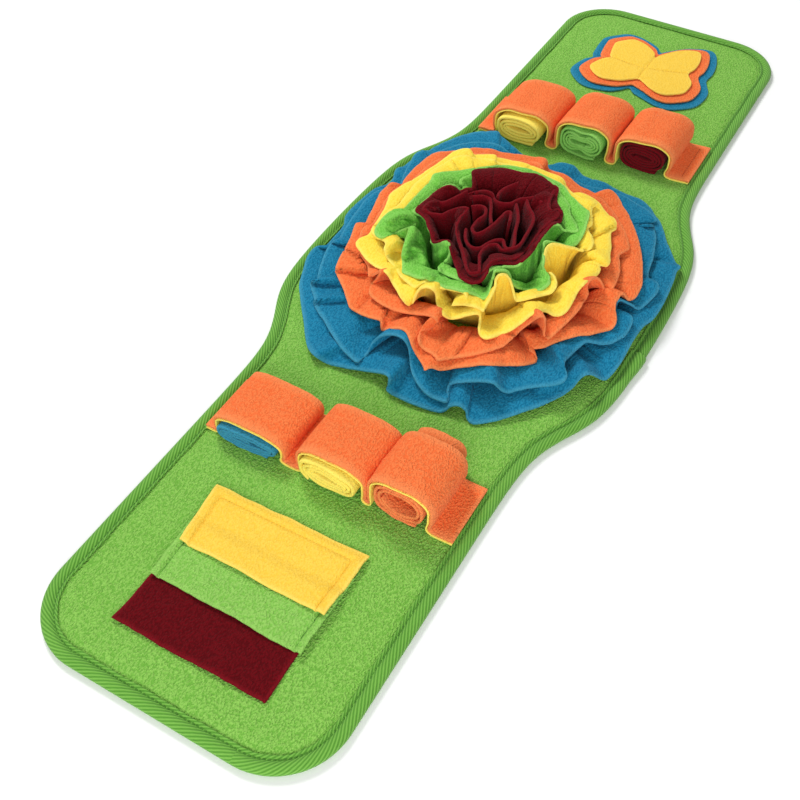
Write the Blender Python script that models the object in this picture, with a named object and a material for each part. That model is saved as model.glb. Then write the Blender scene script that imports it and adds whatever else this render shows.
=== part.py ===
"""A snuffle mat: a bound fleece mat with a ruffled flower, two looped straps that hold rolls
of fleece, three stacked flaps and a butterfly.

The mat lies on the surface with its underside at z = 0. The origin is at the middle of the
underside, +X runs across the mat and +Y along it, from the flaps towards the butterfly.
Sizes named *_MM and the tables are in millimetres, everything else is in metres.
"""
import math

import bpy
import numpy as np

MM = 0.001

# ---------------------------------------------------------------- driving sizes, in metres
LENGTH = 1.000
END_HALF_WIDTH = 0.1248      # half the width of the straight ends
SWELL = 0.0339               # how far each side swells out beside the flower
SWELL_REACH = 0.1456         # distance from the middle at which the swell is half gone
SHOULDER = 0.0713            # length over which the swell fades
CROWN = 0.0062               # roundness of the swell's side
CORNER_RADIUS = 0.0568
SIDE_POINTS = 25             # along each side between two corners

GAP = 0.0003                 # air between touching pieces
MAT_THICKNESS = 0.0065
BINDING_THICKNESS = 0.0013   # the folded tape's own cloth
BINDING_HEIGHT = 0.0070
BINDING_WIDTH = 0.0123       # how far the tape reaches in over the mat
MAT_TONGUE = 0.0019          # half of what the mat's edge thins by inside the tape

FLEECE = 0.0018              # one fleece sheet
STRAP_CLOTH = 0.0016         # the strap's face and its lining, each
MAT_TOP = MAT_THICKNESS + GAP
SHEET_REST = MAT_TOP + FLEECE / 2   # height of the middle of a sheet that lies on the mat

# ------------------------------------------------------------------------------ the flower
FLOWER_STEPS = 60            # samples round a ruffle
PLY_ROWS = (0.0, 0.36, 0.68, 1.0)  # a ply's rows, from its root to its free edge
BOW_WIDTH = 0.020            # a ply that leans out by less than this bows less
SPAN_PROBES = 5              # points tested along each span between two rows
REST_ROUNDS = 4
SLOPE_LIMIT = 1.9            # the most that a steep flute widens the air between two plies
PLY_AIR = 0.0014             # least air between the middles of two plies, past their cloth
PLY_NEST = 0.0025            # least distance that a free edge stays inside the one below
SEAM_HALF = 3.5 * MM         # half of the flat run that is sewn down between two plies
MITRE_LIMIT = 0.65           # a bend lengthens the cloth's offset by no more than 1 over this

# A ruffle is one strip, gathered along its middle. Each row says where a free edge passes:
# the angle round the flower from +X, the reach from the flower's middle, and the height.
BLUE_UNDER = (
    # angle_deg, reach_mm, rise_mm
    (0, 153, 10), (15, 154, 10), (27, 166, 11), (33, 172, 10), (42, 172, 9), (50, 172, 9),
    (59, 170, 9), (68, 160, 12), (80, 163, 9), (90, 168, 9), (97, 158, 11), (108, 172, 14),
    (116, 186, 26), (124, 176, 22), (135, 170, 12), (144, 172, 12), (152, 152, 20),
    (160, 164, 12), (172, 152, 9), (184, 154, 9), (196, 156, 9), (204, 160, 18),
    (212, 160, 12), (221, 176, 9), (231, 184, 9), (242, 188, 9), (251, 186, 9),
    (260, 174, 13), (266, 163, 18), (273, 178, 9), (282, 178, 9), (288, 168, 17),
    (293, 181, 9), (302, 176, 9), (311, 167, 9), (319, 156, 10), (324, 150, 15),
    (331, 162, 11), (341, 155, 10), (350, 151, 10),
)
BLUE_OVER = (
    (3, 124, 22), (10, 138, 19), (20, 137, 18), (27, 150, 17), (31, 142, 22), (38, 135, 24),
    (46, 150, 19), (56, 152, 17), (66, 146, 21), (78, 148, 20), (90, 154, 18),
    (102, 150, 22), (113, 168, 26), (123, 166, 25), (134, 158, 20), (145, 150, 18),
    (156, 144, 24), (165, 152, 18), (176, 144, 22), (190, 148, 18), (203, 153, 17),
    (212, 154, 18), (220, 162, 17), (224, 154, 20), (230, 168, 17), (243, 165, 17),
    (252, 170, 16), (259, 134, 26), (264, 130, 27), (270, 146, 20), (276, 165, 17),
    (282, 172, 16), (288, 152, 23), (294, 150, 24), (300, 158, 18), (307, 161, 17),
    (317, 156, 17), (323, 140, 24), (331, 124, 27), (338, 130, 22), (348, 140, 18),
)
ORANGE_UNDER = (
    (0, 124, 35), (8, 118, 36), (14, 134, 32), (24, 133, 31), (36, 131, 31), (48, 132, 31),
    (60, 140, 30), (68, 128, 35), (79, 125, 34), (90, 134, 32), (101, 150, 29),
    (112, 146, 31), (124, 144, 32), (136, 144, 31), (148, 134, 33), (158, 127, 35),
    (166, 134, 32), (176, 124, 34), (187, 126, 34), (194, 130, 31), (206, 131, 32),
    (218, 138, 32), (229, 139, 31), (240, 144, 30), (250, 138, 33), (255, 141, 31),
    (261, 130, 36), (268, 140, 31), (277, 160, 24), (287, 148, 29), (297, 143, 30),
    (309, 140, 29), (315, 126, 33), (324, 124, 33), (334, 130, 31), (342, 136, 30),
    (350, 130, 33),
)
ORANGE_OVER = (
    (2, 108, 42), (12, 116, 38), (22, 122, 37), (34, 118, 39), (46, 118, 39), (60, 122, 38),
    (72, 116, 40), (84, 118, 40), (98, 130, 36), (112, 130, 37), (126, 130, 38),
    (140, 130, 37), (154, 120, 39), (168, 122, 38), (184, 117, 40), (198, 120, 38),
    (210, 122, 38), (218, 113, 42), (226, 98, 45), (234, 112, 41), (246, 118, 38),
    (256, 114, 39), (264, 104, 43), (272, 118, 38), (282, 132, 33), (294, 120, 38),
    (303, 106, 43), (311, 100, 44), (318, 109, 41), (326, 112, 40), (338, 106, 42),
    (350, 104, 43),
)
YELLOW_UNDER = (
    (4, 103, 49), (12, 106, 47), (22, 100, 49), (34, 107, 47), (42, 111, 46), (52, 107, 47),
    (64, 102, 48), (76, 106, 47), (90, 106, 47), (104, 110, 46), (116, 116, 45),
    (128, 126, 42), (138, 116, 46), (150, 106, 48), (166, 106, 47), (178, 109, 46),
    (190, 104, 48), (204, 107, 47), (213, 119, 44), (224, 110, 47), (237, 110, 47),
    (250, 116, 45), (259, 114, 46), (263, 92, 51), (270, 104, 48), (278, 112, 46),
    (286, 100, 50), (293, 124, 43), (300, 116, 45), (310, 104, 48), (318, 104, 48),
    (325, 112, 45), (338, 104, 48), (352, 101, 49),
)
YELLOW_OVER = (
    (3, 65, 57), (13, 73, 56), (21, 82, 54), (30, 86, 54), (42, 88, 53), (54, 94, 51),
    (68, 90, 52), (82, 92, 52), (98, 94, 52), (112, 100, 50), (126, 104, 49), (138, 100, 50),
    (150, 92, 53), (166, 94, 52), (180, 93, 52), (194, 92, 53), (204, 78, 57), (211, 94, 53),
    (222, 88, 54), (234, 92, 54), (247, 94, 53), (256, 84, 55), (268, 82, 55),
    (278, 84, 55), (288, 92, 53), (296, 86, 54), (303, 70, 57), (311, 82, 55), (318, 86, 54),
    (328, 86, 54), (338, 78, 55), (350, 68, 57),
)
GREEN_UNDER = (
    (2, 53, 60), (12, 58, 59), (22, 68, 56), (34, 80, 54), (44, 80, 54), (56, 84, 53),
    (70, 88, 53), (84, 90, 53), (100, 92, 53), (114, 94, 52), (128, 92, 52), (142, 94, 52),
    (156, 88, 53), (172, 86, 54), (186, 88, 54), (198, 86, 55), (206, 72, 58), (216, 80, 56),
    (228, 84, 56), (242, 84, 56), (256, 80, 57), (270, 78, 57), (284, 78, 57), (296, 68, 59),
    (303, 58, 60), (312, 66, 58), (322, 70, 57), (332, 68, 57), (342, 61, 59), (352, 55, 60),
)
GREEN_OVER = (
    (0, 44, 62), (14, 48, 61), (28, 54, 60), (40, 64, 58), (54, 70, 57), (68, 78, 56),
    (84, 86, 55), (100, 88, 54), (116, 84, 55), (130, 78, 56), (142, 74, 57), (154, 78, 56),
    (168, 78, 57), (184, 77, 57), (196, 70, 59), (208, 58, 61), (218, 54, 61), (226, 56, 61),
    (233, 50, 62), (242, 56, 61), (252, 66, 59), (264, 72, 58), (277, 71, 58), (286, 64, 59),
    (295, 54, 61), (305, 50, 62), (316, 48, 62), (328, 44, 62), (344, 42, 62),
)
MAROON_UNDER = (
    (0, 44, 60), (20, 46, 60), (36, 58, 60), (50, 62, 60), (64, 74, 59), (78, 82, 58),
    (92, 84, 57), (106, 82, 57), (120, 80, 57), (132, 78, 57), (142, 58, 60), (154, 66, 59),
    (168, 68, 59), (184, 68, 59), (196, 68, 59), (206, 56, 60), (218, 48, 61), (230, 56, 60),
    (238, 49, 62), (250, 56, 61), (263, 66, 60), (275, 73, 59), (285, 70, 59), (294, 58, 60),
    (304, 50, 61), (316, 47, 61), (330, 45, 61), (345, 44, 61),
)
MAROON_OVER = (
    (0, 37, 63), (20, 39, 63), (40, 52, 62), (60, 62, 61), (80, 66, 61), (100, 66, 61),
    (118, 62, 61), (134, 54, 62), (150, 54, 62), (166, 56, 62), (182, 57, 62), (196, 52, 62),
    (210, 42, 63), (224, 38, 64), (238, 40, 64), (252, 50, 63), (266, 60, 62), (280, 66, 61),
    (290, 58, 62), (302, 44, 63), (318, 40, 63), (340, 37, 63),
)
# name, colour, seam radius, the seam ring's middle, lower and upper free edges
RUFFLES = (
    ("ruffle_blue", "blue", 110, (0, 0), BLUE_UNDER, BLUE_OVER),
    ("ruffle_orange", "orange", 90, (0, 0), ORANGE_UNDER, ORANGE_OVER),
    ("ruffle_yellow", "yellow", 71, (-1, 0), YELLOW_UNDER, YELLOW_OVER),
    ("ruffle_green", "green", 54, (-3, 0), GREEN_UNDER, GREEN_OVER),
    ("ruffle_maroon", "maroon", 38, (-6, 0), MAROON_UNDER, MAROON_OVER),
)
# The heart is one strip on its edge, folded back and forth; its rows are its top edge.
HEART_ROOT_SCALE = 0.54      # its sewn edge is the top edge drawn in by this much
HEART_FAN = 3.5              # how late on its way up the strip fans out
HEART_ROWS = (0.0, 0.7, 1.0) # rows of the strip, as shares of its height
HEART_MIDDLE = (-6, -2)
HEART_STEPS = 3              # samples between two rows of the path
HEART_PATH = (
    # x_mm, y_mm, rise_mm
    (-30, 31, 60), (-23, 36, 62), (-15, 32, 61), (-6, 32, 61), (1, 37, 61), (7, 43, 60),
    (13, 39, 61), (21, 29, 61), (28, 16, 60), (29, -2, 61), (27, -17, 62), (20, -25, 61),
    (11, -23, 60), (8, -29, 60), (11, -35, 61), (8, -39, 60), (2, -38, 61), (-7, -34, 61),
    (-18, -29, 61), (-24, -14, 60), (-26, 2, 61), (-24, 14, 62), (-16, 15, 61),
    (-14, 2, 60), (-14, -12, 61), (-7, -17, 61), (-3, -6, 61), (-2, 10, 61), (3, 22, 62),
    (8, 12, 61), (8, -2, 60), (3, -14, 61), (-2, -24, 60), (4, -29, 60),
)

# ---------------------------------------------------------------- straps, loops and rolls
STRAP_RISE_STEPS = 2         # samples between two knots of a loop's outline
FOOT_ROUND = 0.0017          # how far the rounded foot between two loops dips below its knots
LOOP_OUTLINE = (             # share of the loop's span, share of its height
    (0.00, 0.00), (-0.01, 0.35), (0.02, 0.75), (0.22, 0.98), (0.50, 1.00),
    (0.78, 0.98), (0.98, 0.75), (1.01, 0.35), (1.00, 0.00),
)
# name, near edge at x = 0, far edge at x = 0, skew of both edges (y per x)
STRAPS = (
    ("near_strap", -0.285, -0.224, 0.00),
    ("far_strap", 0.205, 0.268, 0.10),
)
# left_mm, right_mm, top at the near edge, top at the far edge
LOOPS = {
    "near_strap": ((-102, -39, 32, 30), (-30, 35, 45, 41), (42, 90, 47, 43)),
    "far_strap": ((-95, -37, 42, 40), (-28, 27, 45, 42), (35, 90, 43, 41)),
}
# strap, loop, name, colour, past the near edge, past the far edge, open core (mm)
ROLLS = (
    ("near_strap", 0, "roll_near_blue", "blue", 4, 3, 0),
    ("near_strap", 1, "roll_near_yellow", "yellow", 6, 3, 0),
    ("near_strap", 2, "roll_near_orange", "orange", 1, 12, 7),
    ("far_strap", 0, "roll_far_yellow", "yellow", 7, 4, 0),
    ("far_strap", 1, "roll_far_green", "green", 3, 4, 0),
    ("far_strap", 2, "roll_far_maroon", "maroon", 0, 4, 0),
)
ROLL_SAMPLES = 32
ROLL_START = -0.35 * math.pi # where the outer turn's end lies on the roll
ROLL_SQUARENESS = 3.0        # 2 is an ellipse, more is squarer
ROLL_STEP = 0.07             # how far the outer turn's end stands over the turn below
ROLL_EASE = 0.0008           # air between a roll and the lining

# -------------------------------------------------------------------------- flaps, butterfly
# name, colour, left_mm, right_mm, sewn edge, free edge, lift of the free edge
FLAPS = (
    ("flap_maroon", "maroon", -66.0, 67.0, -380.0, -456.0, 2.0),
    ("flap_green", "green", -66.0, 66.0, -346.0, -413.0, 2.0),
    ("flap_yellow", "yellow", -68.0, 66.0, -323.0, -377.0, 2.5),
)
FLAP_COLUMNS = 7
FLAP_ROWS = 8

BUTTERFLY_MIDDLE = (1.0, 385.0)
BUTTERFLY = (                # the top layer's outline
    # angle_deg, reach_mm
    (13, 46), (26, 53), (40, 62), (53, 71), (60, 68), (70, 53), (83, 31), (90, 24),
    (98, 33), (110, 44), (118, 52), (128, 59), (146, 60), (155, 56), (175, 47), (182, 44),
    (190, 52), (204, 63), (214, 64), (230, 59), (246, 44), (258, 32), (270, 27),
    (284, 32), (295, 42), (304, 51), (313, 56), (330, 60), (342, 58), (355, 54),
)
BUTTERFLY_STEPS = 2          # samples between two rows
# name, colour, margin round the top layer, height of its underside over the mat's top
BUTTERFLY_LAYERS = (
    ("butterfly_blue", "blue", 21.0, 0.0),
    ("butterfly_orange", "orange", 11.5, FLEECE + GAP),
    ("butterfly_yellow", "yellow", 0.0, 2 * (FLEECE + GAP)),
)

# ------------------------------------------------------------------------------- colours
FINISHES = {                 # linear base colour, roughness
    "mat": ((0.185, 0.480, 0.070, 1.0), 0.95),
    "binding": ((0.110, 0.330, 0.035, 1.0), 0.85),
    "blue": ((0.012, 0.190, 0.390, 1.0), 0.95),
    "orange": ((0.900, 0.160, 0.035, 1.0), 0.95),
    "yellow": ((0.960, 0.640, 0.060, 1.0), 0.95),
    "green": ((0.110, 0.450, 0.050, 1.0), 0.95),
    "maroon": ((0.120, 0.003, 0.008, 1.0), 0.95),
}


# ------------------------------------------------------------------------------ small maths
def smooth(t):
    """Ease from 0 to 1 with level ends."""
    t = np.clip(t, 0.0, 1.0)
    return t * t * (3.0 - 2.0 * t)


def spline(knots, steps, closed=False):
    """Points of a Catmull-Rom curve through the knots, steps of them for each span."""
    knots = np.asarray(knots, dtype=float)
    if closed:
        padded = np.vstack([knots[-1], knots, knots[:2]])
    else:
        padded = np.vstack([2 * knots[0] - knots[1], knots, 2 * knots[-1] - knots[-2]])
    before, here, after, beyond = padded[:-3], padded[1:-2], padded[2:-1], padded[3:]
    points = []
    for step in range(steps):
        t = step / steps
        points.append(0.5 * (2 * here + (after - before) * t
                             + (2 * before - 5 * here + 4 * after - beyond) * t ** 2
                             + (3 * here - before - 3 * after + beyond) * t ** 3))
    curve = np.stack(points, axis=1).reshape(-1, knots.shape[1])
    return curve if closed else np.vstack([curve, knots[-1]])


def edge_at(rows, angles):
    """Reach and rise of a free edge at the given angles, level at each crest and trough."""
    rows = np.asarray(rows, dtype=float)
    turned = np.vstack([rows[-1] - (360, 0, 0), rows, rows[0] + (360, 0, 0)])
    at = np.searchsorted(turned[:, 0], angles, side="right") - 1
    start, end = turned[at], turned[at + 1]
    share = ((angles - start[:, 0]) / (end[:, 0] - start[:, 0]))[:, None]
    blend = 0.5 * share + 0.5 * smooth(share)
    edge = (start + (end - start) * blend)[:, 1:] * MM
    return 0.5 * edge + 0.25 * (np.roll(edge, 1, axis=0) + np.roll(edge, -1, axis=0))


# --------------------------------------------------------------------------- making objects
def finish(colour):
    """The Principled material of a cloth colour, made once."""
    material = bpy.data.materials.get(colour)
    if material is None:
        base, roughness = FINISHES[colour]
        material = bpy.data.materials.new(colour)
        material.use_nodes = True
        shader = material.node_tree.nodes["Principled BSDF"]
        shader.inputs["Base Color"].default_value = base
        shader.inputs["Roughness"].default_value = roughness
        shader.inputs["Metallic"].default_value = 0.0
        material.diffuse_color = base
    return material


def add_object(name, vertices, faces, colour):
    """One smooth-shaded object in the scene, with its cloth's material."""
    mesh = bpy.data.meshes.new(name)
    mesh.from_pydata([tuple(float(c) for c in v) for v in vertices], [], faces)
    mesh.validate()
    mesh.shade_smooth()
    mesh.set_sharp_from_angle(angle=math.radians(40))
    mesh.materials.append(finish(colour))
    thing = bpy.data.objects.new(name, mesh)
    bpy.context.scene.collection.objects.link(thing)
    return thing


def ring_faces(rings, count):
    """Quads between consecutive rings of count points, and from the last ring to the first."""
    faces = []
    for ring in range(rings):
        low, high = ring * count, (ring + 1) % rings * count
        for i in range(count):
            j = (i + 1) % count
            faces.append((low + i, low + j, high + j, high + i))
    return faces


def unit(vectors):
    """The vectors at unit length."""
    return vectors / np.linalg.norm(vectors, axis=-1, keepdims=True)


def sheet_normals(grid, closed):
    """Normals of a grid of points [row, column], rows closed into a ring or open, made longer
    where the sheet bends from column to column, so that a bend keeps the cloth's thickness."""
    if closed:
        along = np.roll(grid, -1, axis=0) - np.roll(grid, 1, axis=0)
    else:
        along = np.gradient(grid, axis=0)
    spans = unit(np.diff(grid, axis=1))
    across = np.concatenate([spans[:, :1], spans[:, :-1] + spans[:, 1:], spans[:, -1:]], axis=1)
    half_turn = np.ones(grid.shape[:2])
    half_turn[:, 1:-1] = np.linalg.norm(across[:, 1:-1], axis=2) / 2
    longer = 1.0 / np.maximum(half_turn, MITRE_LIMIT)
    return unit(np.cross(across, along)) * longer[..., None]


def sheet(name, grid, thickness, colour, closed=False):
    """A closed solid of even thickness on both sides of a grid of points [row, column]; both
    sides' quads are split along the same diagonal."""
    offset = sheet_normals(grid, closed) * thickness / 2
    rows, columns = grid.shape[:2]
    section = np.concatenate([grid + offset, (grid - offset)[:, ::-1]], axis=1)
    count = 2 * columns
    faces = ring_faces(rows, count)
    faces = [f if f[0] % count < columns else f[1:] + f[:1] for f in faces]
    if not closed:
        faces = faces[:(rows - 1) * count]
        first = list(range(count))
        last = [(rows - 1) * count + i for i in range(count)]
        for i in range(columns - 1):
            faces.append((first[i], first[-1 - i], first[-2 - i], first[i + 1]))
            faces.append((last[i + 1], last[-2 - i], last[-1 - i], last[i]))
    return add_object(name, section.reshape(-1, 3), faces, colour)


def outward(thing):
    """Turn the faces of a closed object outwards, judged by its signed volume."""
    mesh = thing.data
    volume = 0.0
    for face in mesh.polygons:
        corners = [mesh.vertices[i].co for i in face.vertices]
        for i in range(1, len(corners) - 1):
            volume += corners[0].dot(corners[i].cross(corners[i + 1]))
    if volume < 0:
        mesh.flip_normals()
    return thing


# ------------------------------------------------------------------------- mat and binding
def half_width(y):
    """Half the mat's width at y: straight ends with a swell beside the flower."""
    share = 1.0 / (1.0 + math.exp(4.0 * (abs(y) - SWELL_REACH) / SHOULDER))
    crown = CROWN * max(0.0, 1.0 - (y / SWELL_REACH) ** 2)
    return END_HALF_WIDTH + (SWELL + crown) * share


def mat_outline():
    """Points of the mat's outline, counterclockwise from the right end of the near edge."""
    side_end = LENGTH / 2 - CORNER_RADIUS
    corner = [math.radians(a) for a in (72, 54, 36, 18)]
    right = []
    for turn in corner:
        y = side_end + CORNER_RADIUS * math.sin(turn)
        right.append((half_width(y) - CORNER_RADIUS * (1 - math.cos(turn)), -y))
    for y in np.linspace(-side_end, side_end, SIDE_POINTS):
        right.append((half_width(y), y))
    right += [(x, -y) for x, y in reversed(right[:4])]
    flat = half_width(LENGTH / 2) - CORNER_RADIUS
    right = [(flat, -LENGTH / 2), *right, (flat, LENGTH / 2)]
    left = [(-x, -y) for x, y in right]
    return np.array(right + left)


def inset(outline, distance):
    """The outline moved inwards by the distance."""
    along = np.roll(outline, -1, axis=0) - np.roll(outline, 1, axis=0)
    along /= np.linalg.norm(along, axis=1, keepdims=True)
    return outline + distance * np.column_stack([-along[:, 1], along[:, 0]])


def turned_section(outline, section):
    """Rings of points for a section of (inset, height) pairs carried round the outline."""
    rings = []
    for distance, height in section:
        ring = inset(outline, distance)
        rings.append(np.column_stack([ring, np.full(len(ring), height)]))
    return np.vstack(rings)


def make_mat(outline):
    """The padded mat, thinned at its edge where the binding takes it in."""
    inner = BINDING_WIDTH + GAP
    outer = BINDING_THICKNESS + 2 * GAP
    section = [
        (inner, 0.0), (inner, MAT_TONGUE), (outer, MAT_TONGUE),
        (outer, BINDING_HEIGHT - MAT_TONGUE), (inner, BINDING_HEIGHT - MAT_TONGUE),
        (inner, MAT_THICKNESS),
    ]
    count = len(outline)
    faces = ring_faces(len(section), count)[:(len(section) - 1) * count]
    faces.append(tuple(reversed(range(count))))
    faces.append(tuple(range((len(section) - 1) * count, len(section) * count)))
    outward(add_object("mat_pad", turned_section(outline, section), faces, "mat"))


def make_binding(outline):
    """The tape folded over the mat's edge, one closed channel."""
    top = BINDING_HEIGHT
    cloth = BINDING_THICKNESS
    section = [
        (BINDING_WIDTH, 0.0), (cloth, 0.0), (0.0, top / 2), (cloth, top),
        (BINDING_WIDTH, top), (BINDING_WIDTH, top - cloth), (cloth, top - cloth),
        (cloth, cloth), (BINDING_WIDTH, cloth),
    ]
    faces = ring_faces(len(section), len(outline))
    outward(add_object("binding", turned_section(outline, section), faces, "binding"))


# ------------------------------------------------------------------------------ the flower
def ply_profile(root, reach, rise):
    """Section of one ply at each angle, [angle, row, (r, z)]: up from its root, then over in a
    bow to its free edge, which passes at the given reach and rise."""
    start = np.column_stack([root, np.full(len(root), SHEET_REST)])
    tip = np.column_stack([reach, rise])
    width = (reach - root)[:, None]
    lift = (rise - SHEET_REST)[:, None]
    lean = np.clip(width / BOW_WIDTH, 0.0, 1.0)
    # The shares below set the bow: nearly upright at first, then over and past its own rise.
    stand = start + np.hstack([0.08 * width, 0.80 * lift])
    bow = start + np.hstack([0.60 * width, (0.85 + 0.25 * lean) * lift + 0.10 * np.abs(width)])
    t = np.array(PLY_ROWS)[None, :, None]
    parts = [start, stand, bow, tip]
    weights = [(1 - t) ** 3, 3 * t * (1 - t) ** 2, 3 * t ** 2 * (1 - t), t ** 3]
    return sum(weight * part[:, None, :] for weight, part in zip(weights, parts))


def pushes(points, lower, clearance):
    """How far, and which way, each point [angle, point] moves to clear the lower section."""
    segment = np.diff(lower, axis=1)
    length = np.linalg.norm(segment, axis=2, keepdims=True)
    side = np.stack([-segment[..., 1], segment[..., 0]], axis=2) / length
    offset = points[:, :, None, :] - lower[:, None, :-1, :]
    share = np.sum(offset * segment[:, None], axis=3) / (length[:, None, :, 0] ** 2)
    share = np.clip(share, 0.0, 1.0)
    nearest = lower[:, None, :-1, :] + share[..., None] * segment[:, None]
    gap = np.linalg.norm(points[:, :, None, :] - nearest, axis=3)
    best = np.argmin(gap, axis=2)
    row = np.arange(len(points))[:, None]
    column = np.arange(points.shape[1])[None, :]
    normal = side[row, best]
    signed = np.sum((points - nearest[row, column, best]) * normal, axis=2)
    past_tip = (best == segment.shape[1] - 1) & (share[row, column, best] >= 1.0)
    free = past_tip & (gap[row, column, best] >= clearance[:, None])
    return np.where(free, 0.0, np.maximum(clearance[:, None] - signed, 0.0)), normal


def rest_on(upper, lower, clearance):
    """Push the rows of the upper section off the lower one until the spans between them clear
    it too: a row moves by the largest push found along the two spans beside it."""
    shares = np.arange(SPAN_PROBES) / SPAN_PROBES
    rows = upper.shape[1]
    for _ in range(REST_ROUNDS):
        spans = np.diff(upper, axis=1)[:, :, None, :] * shares[None, None, :, None]
        probes = (upper[:, :-1, None, :] + spans).reshape(len(upper), -1, 2)
        probes = np.concatenate([probes, upper[:, -1:]], axis=1)
        push, normal = pushes(probes, lower, clearance)
        for row in range(1, rows):
            low = (row - 1) * SPAN_PROBES + 1
            high = min((row + 1) * SPAN_PROBES, probes.shape[1])
            most = low + np.argmax(push[:, low:high], axis=1)
            angle = np.arange(len(upper))
            upper[:, row] += push[angle, most][:, None] * normal[angle, most]
    return upper


def flute_slope(profile, angles):
    """How steeply each angle's free edge climbs along the ruffle, as a length factor."""
    reach, rise = profile[:, -1, 0], profile[:, -1, 1]
    step = np.radians(np.roll(angles, -1) - np.roll(angles, 1)) % (2 * math.pi)
    climb = np.hypot(np.roll(rise, -1) - np.roll(rise, 1),
                     np.roll(reach, -1) - np.roll(reach, 1))
    return np.minimum(np.sqrt(1.0 + (climb / (reach * step)) ** 2), SLOPE_LIMIT)


def make_flower():
    """The five ruffles, each one strip with a lower and an upper ply, from the mat upwards:
    every ply is drawn to its own free edge and then rests on the ply below."""
    angles = np.arange(FLOWER_STEPS) * 360.0 / FLOWER_STEPS
    turn = np.radians(angles)
    below = None
    for name, colour, seam, middle, under, over in RUFFLES:
        cx, cy = middle[0] * MM, middle[1] * MM
        away = cx * np.cos(turn) + cy * np.sin(turn)
        aside = cy * np.cos(turn) - cx * np.sin(turn)
        ring = away + np.sqrt((seam * MM) ** 2 - aside ** 2)
        plies = []
        for root, edge in ((ring + SEAM_HALF, under), (ring - SEAM_HALF, over)):
            reach, rise = edge_at(edge, angles).T
            if below is not None:
                reach = np.minimum(reach, below[:, -1, 0] - PLY_NEST)
            profile = ply_profile(root, reach, rise)
            if below is not None:
                clearance = (FLEECE + PLY_AIR) * flute_slope(profile, angles)
                profile = rest_on(profile, below, clearance)
            profile[..., 1] = np.maximum(profile[..., 1], SHEET_REST)
            plies.append(profile)
            below = profile
        strip = np.concatenate([plies[0][:, ::-1], plies[1]], axis=1)
        grid = np.stack([strip[..., 0] * np.cos(turn)[:, None],
                         strip[..., 0] * np.sin(turn)[:, None], strip[..., 1]], axis=2)
        outward(sheet(name, grid, FLEECE, colour, closed=True))


def make_heart():
    """The strip at the flower's heart, standing on its edge and fanning out upwards."""
    top = spline(np.array(HEART_PATH), HEART_STEPS) * MM
    middle = np.array(HEART_MIDDLE) * MM
    rows = []
    for share in HEART_ROWS:
        scale = HEART_ROOT_SCALE + (1 - HEART_ROOT_SCALE) * share ** HEART_FAN
        height = MAT_TOP + (top[:, 2] - MAT_TOP) * share
        rows.append(np.column_stack([middle + (top[:, :2] - middle) * scale, height]))
    outward(sheet("heart_maroon", np.stack(rows, axis=1), FLEECE, "maroon"))


# ---------------------------------------------------------------------------------- straps
def strap_path(loops, end):
    """The strap's middle line, (x, z), over its three loops; end 0 is near and 1 is far."""
    rest = MAT_TOP + STRAP_CLOTH + GAP / 2
    foot = rest + FOOT_ROUND
    tab = END_HALF_WIDTH - BINDING_WIDTH - 2 * GAP
    knots = [(-tab, rest)]
    for left, right, near_top, far_top in loops:
        top = (near_top, far_top)[end] * MM - STRAP_CLOTH - GAP / 2
        for across, up in LOOP_OUTLINE:
            x = (left + across * (right - left)) * MM
            knots.append((x, foot + up * (top - foot)))
    knots.append((tab, rest))
    return spline(knots, STRAP_RISE_STEPS)


def make_straps():
    """Each strap is a face over a lining, both carried over the same three loops."""
    for name, near, far, skew in STRAPS:
        edges = []
        for end, edge in ((0, near), (1, far)):
            path = strap_path(LOOPS[name], end)
            along = np.gradient(path, axis=0)
            along /= np.linalg.norm(along, axis=1, keepdims=True)
            normal = np.column_stack([-along[:, 1], along[:, 0]])
            edges.append((path, normal, edge + skew * path[:, 0]))
        step = (STRAP_CLOTH + GAP) / 2
        for part, colour, shift in (("face", "orange", step), ("lining", "yellow", -step)):
            grid = []
            for path, normal, y in edges:
                moved = path + shift * normal
                grid.append(np.column_stack([moved[:, 0], y, moved[:, 1]]))
            grid = np.stack(grid, axis=1)
            outward(sheet(f"{name}_{part}", grid, STRAP_CLOTH, colour))


def roll_section(left, right, top, core):
    """Outline of a wound roll under a loop, with the step of its outer turn; an open core
    makes it one thick turn with a slit."""
    cloth = 2 * STRAP_CLOTH + GAP
    low, high = MAT_TOP, top * MM - cloth - ROLL_EASE
    half_x = (right - left) / 2 * MM - cloth - ROLL_EASE
    half_z = (high - low) / 2
    middle = np.array([(left + right) / 2 * MM, low + half_z])
    turn = np.linspace(0.0, 2 * math.pi, ROLL_SAMPLES, endpoint=False) + ROLL_START
    squareness = 2.0 / ROLL_SQUARENESS
    ring = np.column_stack([
        np.sign(np.cos(turn)) * np.abs(np.cos(turn)) ** squareness,
        np.sign(np.sin(turn)) * np.abs(np.sin(turn)) ** squareness,
    ])
    shrink = 1.0 - ROLL_STEP * np.linspace(1.0, 0.0, ROLL_SAMPLES)[:, None]
    outer = ring * (half_x, half_z) * shrink
    if not core:
        return middle + outer
    inner = ring * np.array([core * 1.3, core]) * MM
    return middle + np.vstack([outer, inner[::-1]])


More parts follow.
